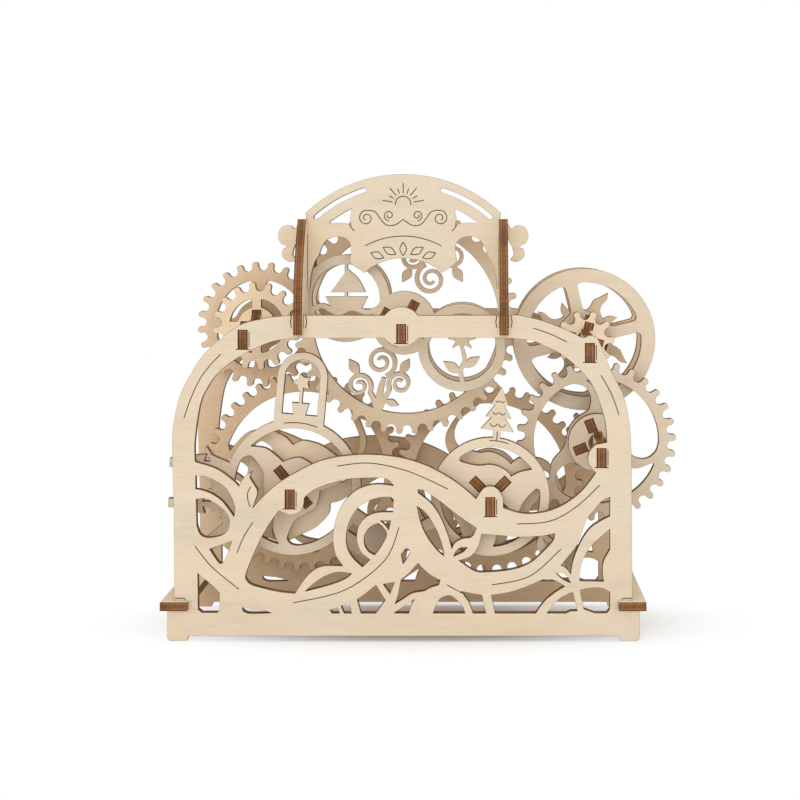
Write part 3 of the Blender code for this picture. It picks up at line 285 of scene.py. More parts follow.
def stroke(path, start_width, end_width=None):
    """A band along a path, its width changing evenly from one end to the other."""
    end_width = start_width if end_width is None else end_width
    left, right = [], []
    last = len(path) - 1
    for i, (x, z) in enumerate(path):
        ax, az = path[max(i - 1, 0)]
        bx, bz = path[min(i + 1, last)]
        length = math.hypot(bx - ax, bz - az)
        half = (start_width + (end_width - start_width) * i / last) / 2
        nx, nz = -(bz - az) / length * half, (bx - ax) / length * half
        left.append((x + nx, z + nz))
        right.append((x - nx, z - nz))
    return left + right[::-1]


def spiral(centre, outer, inner, start, turns, steps):
    """A path that winds inwards round a centre."""
    return [polar(outer + (inner - outer) * i / steps, start + 360.0 * turns * i / steps, centre)
            for i in range(steps + 1)]


def leaf(root, tip, bulge):
    """A pointed leaf from its root to its tip."""
    (ax, az), (bx, bz) = root, tip
    mx, mz = (ax + bx) / 2, (az + bz) / 2
    nx, nz = (az - bz) * bulge, (bx - ax) * bulge
    return smooth([root, (mx + nx, mz + nz), tip]) + smooth([tip, (mx - nx, mz - nz), root])[1:-1]


def linked(lines):
    """One ring from lines that follow one another. Ends that meet are kept once."""
    ring = []
    for line in lines:
        if ring and math.dist(ring[-1], line[0]) < JOINED:
            line = line[1:]
        ring += line
    if math.dist(ring[0], ring[-1]) < JOINED:
        ring.pop()
    return ring


def leaf_lines(root, tip):
    """The outline of a leaf as its two sides."""
    edge = leaf(root, tip, LEAF_BULGE)
    middle = len(edge) // 2
    return [edge[:middle + 1], edge[middle:] + edge[:1]]


def joined_runs(runs):
    """One ring from smooth runs: a corner stays where two runs meet."""
    return linked([smooth(run) for run in runs])


def polar_line(table):
    """Points given as (degrees, radius)."""
    return [polar(radius, degrees) for degrees, radius in table]


# Joining flat shapes

def signed_area(ring):
    return sum(ring[i - 1][0] * p[1] - p[0] * ring[i - 1][1] for i, p in enumerate(ring)) / 2


def covered_triangles(rings, wanted):
    """Triangles of the plane between the rings, kept where wanted(rings over the triangle) is true."""
    points, faces = [], []
    for ring in rings:
        ring = ring if signed_area(ring) > 0 else ring[::-1]
        faces.append(list(range(len(points), len(points) + len(ring))))
        points += [Vector(p) for p in ring]
    found = delaunay_2d_cdt(points, [], faces, 0, CROSSING, True)
    kept = [tuple(triangle) for triangle, over in zip(found[2], found[5]) if wanted(set(over))]
    return found[0], kept, found[3]


def boundary_rings(points, triangles):
    """Closed edges of a set of triangles, with the wood on their left."""
    edges = {(t[i], t[(i + 1) % len(t)]) for t in triangles for i in range(len(t))}
    onward = {}
    for a, b in edges:
        if (b, a) not in edges:
            onward.setdefault(a, []).append(b)
    rings = []
    while onward:
        start = min(onward)
        ring, before, here = [], None, start
        while True:
            ways = onward[here]
            if len(ways) > 1 and before is not None:
                back = points[before] - points[here]
                ways.sort(key=lambda w: (-(points[w] - points[here]).angle_signed(back)) % math.tau)
            step = ways.pop(0)
            if not ways:
                del onward[here]
            ring.append(here)
            before, here = here, step
            if here == start:
                break
        rings.append([tuple(points[i]) for i in ring])
    return rings


def tidied(ring):
    """The ring without points that lie too close together or on a straight run."""
    line = []
    for point in ring:
        if not line or math.dist(line[-1], point) > CLOSE:
            line.append(point)
    if len(line) > 1 and math.dist(line[0], line[-1]) <= CLOSE:
        line.pop()
    kept = []
    for i, point in enumerate(line):
        (ax, az), (bx, bz) = line[i - 1], line[(i + 1) % len(line)]
        twist = (point[0] - ax) * (bz - point[1]) - (point[1] - az) * (bx - point[0])
        if abs(twist) > STRAIGHT * math.dist((ax, az), (bx, bz)):
            kept.append(point)
    return kept


def merged(solids, cuts=()):
    """Rings of the flat shape that the solids make together. A solid is its edge, then its own windows."""
    rings = [ring for solid in solids for ring in solid] + list(cuts)
    roles = [("window" if i else "edge", number) for number, solid in enumerate(solids) for i in range(len(solid))]
    roles += [("cut", None) for _ in cuts]

    def wood(over):
        found = {roles[i] for i in over}
        return ("cut", None) not in found and any(
            role == "edge" and ("window", number) not in found for role, number in found)

    points, triangles, _ = covered_triangles(rings, wood)
    found = [tidied(ring) for ring in boundary_rings(points, triangles)]
    return sorted((ring for ring in found if len(ring) > 2 and abs(signed_area(ring)) > SPECK),
                  key=lambda ring: -abs(signed_area(ring)))


# Solids

def inset(ring, distance):
    """The ring moved into the wood, which lies on its left."""
    line = []
    for i, (x, z) in enumerate(ring):
        before = Vector((x - ring[i - 1][0], z - ring[i - 1][1])).normalized()
        after = Vector((ring[(i + 1) % len(ring)][0] - x, ring[(i + 1) % len(ring)][1] - z)).normalized()
        way = before + after
        length = max(way.length, FOLDED)
        reach = distance * min(2.0 / length, MITRE) / length
        line.append((x - way.y * reach, z + way.x * reach))
    return line


def cap_triangles(rings):
    """Triangles between the rings, by the rings' own point numbers, or None where the rings cross."""
    points, triangles, origins = covered_triangles(rings, lambda over: 0 in over and len(over) == 1)
    if len(points) != sum(len(ring) for ring in rings):
        return None
    numbers = {}
    start = 0
    for ring in rings:
        count = len(ring)
        order = range(count) if signed_area(ring) > 0 else range(count - 1, -1, -1)
        for place, number in enumerate(order):
            numbers[start + place] = start + number
        start += count
    if any(len(origin) != 1 for origin in origins):
        return None
    return [tuple(numbers[origins[i][0]] for i in triangle) for triangle in triangles]


def plate_mesh(name, rings, thickness, ease):
    """A closed plate with eased corners, its front face at +Z. The first ring is its edge."""
    rings = [ring if (signed_area(ring) > 0) == (i == 0) else ring[::-1] for i, ring in enumerate(rings)]
    for width in (ease, ease / 3, 0.0):
        faces = [inset(ring, width) for ring in rings]
        triangles = cap_triangles(faces)
        if triangles:
            break
    else:
        raise RuntimeError("the rings of " + name + " cross")
    half = thickness / 2
    total = sum(len(ring) for ring in rings)
    verts, sides = [], []
    for level, source in ((half - width, rings), (width - half, rings), (half, faces), (-half, faces)):
        verts += [(x * MM, z * MM, level * MM) for ring in source for x, z in ring]
    start = 0
    for ring in rings:
        for i in range(len(ring)):
            a, b = start + i, start + (i + 1) % len(ring)
            sides.append((a + total, b + total, b, a))
            sides.append((a, b, b + 2 * total, a + 2 * total))
            sides.append((a + 3 * total, b + 3 * total, b + total, a + total))
        start += len(ring)
    top = [tuple(i + 2 * total for i in t) for t in triangles]
    bottom = [tuple(i + 3 * total for i in t[::-1]) for t in triangles]
    mesh = bpy.data.meshes.new(name)
    mesh.from_pydata(verts, [], top + bottom + sides)
    mesh.polygons.foreach_set("material_index", [FACE] * (2 * len(top)) + [EDGE] * len(sides))
    shell = bmesh.new()
    shell.from_mesh(mesh)
    bmesh.ops.remove_doubles(shell, verts=shell.verts, dist=WELD)
    shell.to_mesh(mesh)
    shell.free()
    return mesh


def inside(ring, point):
    """Whether the point lies in the ring."""
    x, z = point
    within = False
    for i, (bx, bz) in enumerate(ring):
        ax, az = ring[i - 1]
        if (az > z) != (bz > z) and x < ax + (bx - ax) * (z - az) / (bz - az):
            within = not within
    return within


def new_object(name, data):
    """A new object of the scene."""
    item = bpy.data.objects.new(name, data)
    bpy.context.scene.collection.objects.link(item)
    return item


def applied(item):
    """A new mesh of the object with its modifiers applied. The object is removed."""
    mesh = bpy.data.meshes.new_from_object(item.evaluated_get(bpy.context.evaluated_depsgraph_get()))
    bpy.data.objects.remove(item)
    return mesh


def engrave(mesh, strokes, sizes):
    """Cut lines into the plate's front face, each line along a path."""
    rings = merged([[stroke(path, sizes.line_width / MM)] for path in strokes])
    holes = [ring for ring in rings if signed_area(ring) < 0]
    depth = sizes.line_depth / MM
    cutter = bmesh.new()
    for edge in rings:
        if signed_area(edge) > 0:
            bar = plate_mesh("line", [edge] + [hole for hole in holes if inside(edge, hole[0])], 2 * depth, 0.0)
            bar.transform(Matrix.Translation((0.0, 0.0, PLATE / 2 * MM)))
            cutter.from_mesh(bar)
            bpy.data.meshes.remove(bar)
    cut_mesh = bpy.data.meshes.new("lines")
    cutter.to_mesh(cut_mesh)
    cutter.free()
    for target in (mesh, cut_mesh):
        for slot_name in ("face", "edge", "line"):
            target.materials.append(plain_slot(slot_name))
    cut_mesh.polygons.foreach_set("material_index", [LINE] * len(cut_mesh.polygons))
    body, tool = new_object("body", mesh), new_object("lines", cut_mesh)
    step = body.modifiers.new("Engrave", "BOOLEAN")
    step.operation = "DIFFERENCE"
    step.solver = "EXACT"
    step.object = tool
    result = applied(body)
    bpy.data.objects.remove(tool)
    return result


def plain_slot(name):
    """A placeholder that keeps the material slots in order until the wood is known."""
    return bpy.data.materials.get("slot " + name) or bpy.data.materials.new("slot " + name)


def dress(mesh, grain, materials, thickness=PLATE):
    """Give the flat plate its wood: slots, plies by depth, and sheet coordinates that run along the grain."""
    kinds = [polygon.material_index for polygon in mesh.polygons]
    mesh.materials.clear()
    for material in materials:
        mesh.materials.append(material)
    mesh.polygons.foreach_set("material_index", kinds)
    cos, sin = math.cos(math.radians(grain)), math.sin(math.radians(grain))
    offset = (sum(ord(letter) * (i + 1) for i, letter in enumerate(mesh.name)) % SHEET_PLACES) * SHEET_STEP
    sheet, depth = [], []
    for vert in mesh.vertices:
        x, z, level = vert.co
        sheet += (x * cos + z * sin + offset, z * cos - x * sin + offset * SHEET_SLANT, level)
        depth.append(0.5 - level / (thickness * MM))
    mesh.attributes.new("sheet", "FLOAT_VECTOR", "POINT").data.foreach_set("vector", sheet)
    mesh.attributes.new("depth", "FLOAT", "POINT").data.foreach_set("value", depth)
    mesh.shade_smooth()
    mesh.set_sharp_from_angle(angle=SHARP_EDGE)


def sawn_plate(sizes, name, rings, face, grain, lines=()):
    """A plate of the wood, still lying flat, with lines engraved in its front face."""
    mesh = plate_mesh(name, rings, PLATE, sizes.ease / MM)
    if lines:
        mesh = engrave(mesh, lines, sizes)
        mesh.name = name
    dress(mesh, grain, woods(face))
    return mesh


def stand(mesh, place, sideways=0.0):
    """Stand a flat plate up in the XZ plane, its middle at the place, then turn it sideways."""
    turn = Matrix.Rotation(math.radians(sideways), 4, "Z") @ Matrix.Rotation(math.radians(90.0), 4, "X")
    mesh.transform(Matrix.Translation(Vector(place) * MM + SHIFT) @ turn)


def finished(name, mesh, body, slot, *nodes):
    """Make a piece of the scene: it rides on its body and stands for its CAD nodes."""
    mesh.name = name
    piece = new_object(name, mesh)
    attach(piece, body)
    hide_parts(*nodes)


def upright_board(sizes, node, edge, grain, x, z=0.0):
    """A board of the frame that stands along the depth and shows its sawn edge in front."""
    mesh = sawn_plate(sizes, node + "_wood", [edge], "middle", grain)
    stand(mesh, (x, 0.0, z), 90.0)
    finished(node + "_wood", mesh, "frame", "burnt_plywood", node)


# Nodes

def feed(tree, node, given):
    """Give the node its inputs: each is a plain value, a socket, or a node that stands for its first output."""
    for place, value in given.items():
        source = value.outputs[0] if isinstance(value, bpy.types.Node) else value
        if isinstance(source, bpy.types.NodeSocket):
            tree.links.new(source, node.inputs[place])
        else:
            node.inputs[place].default_value = source


def add_node(tree, kind, given=None, **settings):
    """A new node with its settings and its given inputs."""
    node = tree.nodes.new(kind)
    for name, value in settings.items():
        setattr(node, name, value)
    feed(tree, node, given or {})
    return node


# Repeats round an axis

def repeat_tree():
    """Copies of a shape turned round the Z axis, joined where their ends meet."""
    if TREE_NAME in bpy.data.node_groups:
        return bpy.data.node_groups[TREE_NAME]
    tree = bpy.data.node_groups.new(TREE_NAME, "GeometryNodeTree")
    for label, kind in (("Shape", "Geometry"), ("Copies", "Int"), ("Turn", "Float"), ("Joint Distance", "Float"),
                        ("Sawn Wood", "Material"), ("Face Wood", "Material")):
        tree.interface.new_socket(label, in_out="INPUT", socket_type="NodeSocket" + kind)
    tree.interface.new_socket("Pieces", in_out="OUTPUT", socket_type="NodeSocketGeometry")
    given = add_node(tree, "NodeGroupInput").outputs
    points = add_node(tree, "GeometryNodeMeshLine", {"Count": given["Copies"], "Offset": (0.0, 0.0, 0.0)})
    index = add_node(tree, "GeometryNodeInputIndex")
    share = add_node(tree, "ShaderNodeMath", {0: index, 1: given["Copies"]}, operation="DIVIDE")
    angle = add_node(tree, "ShaderNodeMath", {0: share, 1: math.tau, 2: given["Turn"]}, operation="MULTIPLY_ADD")
    spin = add_node(tree, "ShaderNodeCombineXYZ", {"Z": angle})
    copies = add_node(tree, "GeometryNodeInstanceOnPoints", {
        "Points": points, "Instance": given["Shape"], "Rotation": spin})
    real = add_node(tree, "GeometryNodeRealizeInstances", {"Geometry": copies})
    joined = add_node(tree, "GeometryNodeMergeByDistance", {"Geometry": real, "Distance": given["Joint Distance"]})
    sawn = add_node(tree, "GeometryNodeSetMaterial", {"Geometry": joined, "Material": given["Sawn Wood"]})
    flat = add_node(tree, "GeometryNodeInputNamedAttribute", {"Name": "flat"}, data_type="BOOLEAN")
    faces = add_node(tree, "GeometryNodeSetMaterial", {
        "Geometry": sawn, "Selection": flat, "Material": given["Face Wood"]})
    add_node(tree, "NodeGroupOutput", {"Pieces": faces})
    return tree


def repeated(mesh, copies, turn, joint, sawn, face):
    """A plain mesh of the shape repeated round the Z axis."""
    tree = repeat_tree()
    holder = new_object("repeat", mesh)
    step = holder.modifiers.new("Repeat", "NODES")
    step.node_group = tree
    values = {"Copies": copies, "Turn": math.radians(turn), "Joint Distance": joint * MM,
              "Sawn Wood": sawn, "Face Wood": face}
    for socket in tree.interface.items_tree:
        if socket.name in values:
            step[socket.identifier] = values[socket.name]
    return applied(holder)


def tooth_line(radius, pitch):
    """One tooth with half a root on each side, as (x, z) points. The pitch is in degrees."""
    half = math.radians(pitch) / 2 * radius
    scale = half / (TIP_RADIUS + ROOT_RADIUS)
    root = [(scale * x - half, ROOT_RISE + z) for x, z in arc(ROOT_RADIUS, -90.0, 0.0, ROOT_STEPS)]
    tip = [(scale * x, TIP_RISE + z) for x, z in arc(TIP_RADIUS, 180.0, 0.0, 2 * ROOT_STEPS)]
    return [polar(radius + rise, math.degrees(along / radius)) for along, rise in root + tip + mirrored(root)[::-1]]


def pitch_radius(name):
    return MODULE * TOOTH_COUNT[name] / 2


def toothed_ring(name, turn, wood):
    """The whole toothed edge of a gear, one tooth centred at the turn."""
    count = TOOTH_COUNT[name]
    line = tooth_line(pitch_radius(name), 360.0 / count)
    mesh = bpy.data.meshes.new("tooth")
    mesh.from_pydata([(x * MM, z * MM, 0.0) for x, z in line], [(i, i + 1) for i in range(len(line) - 1)], [])
    whole = repeated(mesh, count, turn, TOOTH_GAP, wood, wood)
    beside = {}
    for edge in whole.edges:
        a, b = edge.vertices
        beside.setdefault(a, []).append(b)
        beside.setdefault(b, []).append(a)
    ring, before, here = [], None, 0
    while True:
        ring.append((whole.vertices[here].co.x / MM, whole.vertices[here].co.y / MM))
        step = next(other for other in beside[here] if other != before)
        before, here = here, step
        if here == 0:
            return ring


# Wood

def noise(tree, vector, detail, stretch, roughness=0.6):
    """Noise on coordinates that are stretched first."""
    place = add_node(tree, "ShaderNodeMapping", {"Vector": vector, "Scale": stretch})
    return add_node(tree, "ShaderNodeTexNoise", {
        "Vector": place, "Scale": 1.0, "Detail": detail, "Roughness": roughness})


def ramp(tree, value, stops):
    """A colour ramp with soft steps. Stops are (position, colour), from low to high."""
    node = add_node(tree, "ShaderNodeValToRGB", {"Fac": value})
    node.color_ramp.interpolation = "EASE"
    elements = node.color_ramp.elements
    while len(elements) < len(stops):
        elements.new(0.5)
    for element, (place, colour) in zip(elements, stops):
        element.position = place
        element.color = (*colour, 1.0)
    return node


def tinted(colour, factor):
    return tuple(min(1.0, channel * factor) for channel in colour)


def multiplied(tree, colour, *layers):
    """A colour multiplied by one layer after another, each as far as its factor says."""
    for factor, layer_colour in layers:
        mix = add_node(tree, "ShaderNodeMix", {"Factor": factor, 6: colour, 7: layer_colour},
                       data_type="RGBA", blend_type="MULTIPLY")
        colour = mix.outputs[2]
    return colour


def new_material(name):
    material = bpy.data.materials.new(name)
    material.use_nodes = True
    return material, material.node_tree, material.node_tree.nodes["Principled BSDF"]


def attribute(tree, name, kind):
    return add_node(tree, "ShaderNodeAttribute", attribute_name=name).outputs[kind]


def relief(tree, height, strength):
    return add_node(tree, "ShaderNodeBump", {"Strength": strength, "Distance": RELIEF, "Height": height})


def plywood_face(name, colour):
    """Pale face ply: long fibres, soft bands along the grain and short dark pores."""
    material, tree, shader = new_material(name)
    sheet = attribute(tree, "sheet", "Vector")
    fibres = noise(tree, sheet, 6.0, (60.0, 1500.0, 60.0), 0.7)
    pores = noise(tree, sheet, 2.0, (320.0, 2600.0, 320.0), 0.5)
    bands = ramp(tree, noise(tree, sheet, 3.0, (9.0, 70.0, 9.0)), [
        (0.28, tinted(colour, 0.93)), (0.5, colour), (0.72, tinted(colour, 1.045))])
    streaks = ramp(tree, fibres, [(0.3, (0.9, 0.875, 0.84)), (0.52, WHITE), (0.75, (1.03, 1.03, 1.03))])
    specks = ramp(tree, pores, [(0.24, (0.68, 0.58, 0.46)), (0.33, WHITE)])
    warmth = ramp(tree, noise(tree, sheet, 2.0, (14.0, 22.0, 14.0)), [(0.3, (1.0, 0.955, 0.89)), (0.65, WHITE)])
    feed(tree, shader, {
        "Base Color": multiplied(tree, bands, (0.8, streaks), (0.75, specks), (0.8, warmth)),
        "Roughness": ramp(tree, fibres, [(0.2, tinted(WHITE, 0.78)), (0.8, tinted(WHITE, 0.62))]),
        "Metallic": 0.0, "Normal": relief(tree, fibres, 0.18)})
    return material


def sawn_edge(name, ply, glue):
    """A cut edge: three brown plies with dark glue lines and charred borders, marked across by the cut."""
    material, tree, shader = new_material(name)
    sheet = attribute(tree, "sheet", "Vector")
    wander = noise(tree, sheet, 2.0, (260.0, 260.0, 60.0))
    shift = add_node(tree, "ShaderNodeMath", {0: wander, 1: 0.09, 2: attribute(tree, "depth", "Fac")},
                     operation="MULTIPLY_ADD")
    middle, border = tinted(ply, 0.7), tinted(ply, 0.22)
    plies = ramp(tree, shift, [
        (0.06, border), (0.14, tinted(ply, 0.75)), (0.2, ply), (0.32, ply), (0.37, glue), (0.42, middle),
        (0.62, middle), (0.68, glue), (0.74, ply), (0.86, ply), (0.92, tinted(ply, 0.75)), (0.98, border)])
    marks = noise(tree, sheet, 3.0, (2600.0, 2600.0, 40.0), 0.65)
    scorch = ramp(tree, marks, [(0.3, (0.42, 0.36, 0.3)), (0.5, (0.95, 0.93, 0.9)), (0.72, (1.5, 1.4, 1.25))])
    soot = ramp(tree, noise(tree, sheet, 3.0, (90.0, 90.0, 90.0)), [
        (0.35, (0.6, 0.52, 0.45)), (0.6, (1.15, 1.1, 1.0))])
    feed(tree, shader, {
        "Base Color": multiplied(tree, plies, (0.85, scorch), (0.7, soot)), "Roughness": 0.6, "Metallic": 0.0,
        "Specular IOR Level": 0.3, "Normal": relief(tree, marks, 0.3)})
    return material


def engraved_line(name, colour):
    """The floor of an engraved line, browner where the cut ran slower."""
    material, tree, shader = new_material(name)
    patches = noise(tree, attribute(tree, "sheet", "Vector"), 3.0, (420.0, 420.0, 420.0))
    base = ramp(tree, patches, [(0.3, tinted(colour, 0.6)), (0.5, colour), (0.75, tinted(colour, 2.1))])
    feed(tree, shader, {"Base Color": base, "Roughness": 0.8, "Metallic": 0.0})
    return material


WOODS = {}


def woods(face):
    """The three materials of a plate: its face, its sawn edge and its engraved lines."""
    colours = bpy.context.scene.theater_colours
    if not WOODS:
        # The middle and rear faces are copies of one plywood, lighter and warmer as painted fill light for the layers
        # in shade
        WOODS["front"] = plywood_face("Front plywood", tuple(colours.front))
        WOODS["middle"] = plywood_face("Middle plywood", tuple(colours.middle))
        WOODS["rear"] = plywood_face("Rear plywood", tuple(colours.rear))
        WOODS["edge"] = sawn_edge("Sawn edge", tuple(colours.sawn_ply), tuple(colours.glue_line))
        WOODS["line"] = engraved_line("Engraved line", tuple(colours.engraved))
    return WOODS[face], WOODS["edge"], WOODS["line"]


SLOTS = {"front": "face_plywood", "middle": "middle_plywood", "rear": "rear_plywood"}


# Front and back panels

def wing_notch(side):
    """Slot in the top bar that a wing drops into, from right to left."""
    middle = AXIS["centre"][0] + side * WING_OFFSET
    half = PLATE / 2 + FIT
    return [(middle + half, TOP_BAR), (middle + half, LAP_HEIGHT), (middle - half, LAP_HEIGHT),
            (middle - half, TOP_BAR)]


def panel_edge():
    """Outer edge of a panel, anticlockwise from the left foot."""
    side = PANEL_SIDE
    notch = side - FIT
    low, high = BAR_Z - FIT, BAR_Z + PLATE + FIT
    left_foot = [(-notch, high), (-notch, low), (-FOOT_OUTER, low), (-FOOT_OUTER, 1.2), (1.2 - FOOT_OUTER, 0.0),
                 (8.8 - FOOT_OUTER, 0.0), (9.8 - FOOT_OUTER, 2.3)]
    right_foot = [(-x, z) for x, z in reversed(left_foot)]
    right_side = [(side, high), (side, 25.0)] + smooth([(side - 0.1, 60.0), (side - 0.5, 91.0), (side - 2.4, 106.0),
                  (side - 5.1, 114.1), (side - 9.2, 122.0), (89.3, 135.5), (87.6, 138.2)])
    hand_lobe = smooth([(87.6, 138.2), (84.8, 138.9), (81.6, 137.9), (78.0, 139.6)])[1:]
    right_top = smooth([(78.0, 139.6), (71.1, 142.7), (62.0, 145.9), (52.0, 148.2)])[1:]
    lobe = arc(9.2, 35.0, 145.0, BEND, (AXIS["centre"][0], AXIS["centre"][1] - 0.5))
    left_top = smooth([(-58.0, 147.4), (-64.3, 146.4), (-74.3, 143.6), (-85.7, 135.5), (-92.5, 128.2),
                       (7.0 - side, 120.9), (2.4 - side, 111.8), (-side - 0.3, 100.5), (-side - 1.2, 91.0),
                       (-side - 0.4, 60.0)])
    return (left_foot + right_foot + right_side + hand_lobe + right_top + wing_notch(1)
            + lobe + wing_notch(-1) + left_top + [(-side - 0.2, 25.0), (-side - 0.2, high)])


def stage_opening():
    """The large opening between the arch and the wave."""
    lobe = arc(9.4, -145.0, -35.0, BEND, AXIS["centre"])
    arch_left = smooth([(-94.8, 81.6), (-94.8, 91.4), (-92.5, 107.3), (-88.9, 115.5), (-84.3, 121.8),
                        (-75.7, 128.6), (-64.3, 134.5), (-56.1, 137.0), (-48.0, 137.7)])
    arch_right = smooth([(44.0, 137.9), (57.5, 136.8), (64.3, 134.1), (71.1, 130.9), (78.0, 125.5),
                         (82.5, 120.9), (87.0, 114.1), (91.6, 100.5), (92.5, 90.2)])
    side_lobe = smooth([(87.2, 89.2), (84.3, 85.5), (84.3, 80.9), (87.5, 76.4)])
    bowl = smooth([(87.5, 76.4), (84.8, 72.7), (80.2, 67.3), (73.4, 62.3), (66.6, 59.3), (59.8, 58.0),
                   (53.0, 58.2), (45.4, 60.5)])[1:]
    right_lobe = smooth([(45.2, 65.4), (42.9, 69.0), (39.5, 70.4), (36.1, 69.0), (33.0, 64.6)])
    crest = smooth([(33.0, 64.6), (28.0, 69.1), (21.1, 74.1), (12.0, 79.1), (3.0, 82.3), (-6.1, 84.1),
                    (-17.5, 84.8), (-28.9, 83.9), (-38.0, 81.8), (-47.0, 77.7), (-56.1, 72.3),
                    (-63.0, 66.4), (-68.7, 60.2)])[1:]
    bud = smooth([(-67.2, 64.4), (-66.4, 68.2), (-68.4, 71.8), (-69.8, 74.5), (-68.9, 77.0)])
    bud += smooth([(-68.9, 77.0), (-72.0, 75.0), (-74.1, 71.8), (-74.8, 70.2)])[1:]
    shore = smooth([(-76.1, 71.8), (-78.9, 74.1), (-82.5, 76.8), (-87.0, 79.1), (-94.0, 81.2)])
    return arch_left + lobe + arch_right + side_lobe + bowl + right_lobe + crest + bud + shore


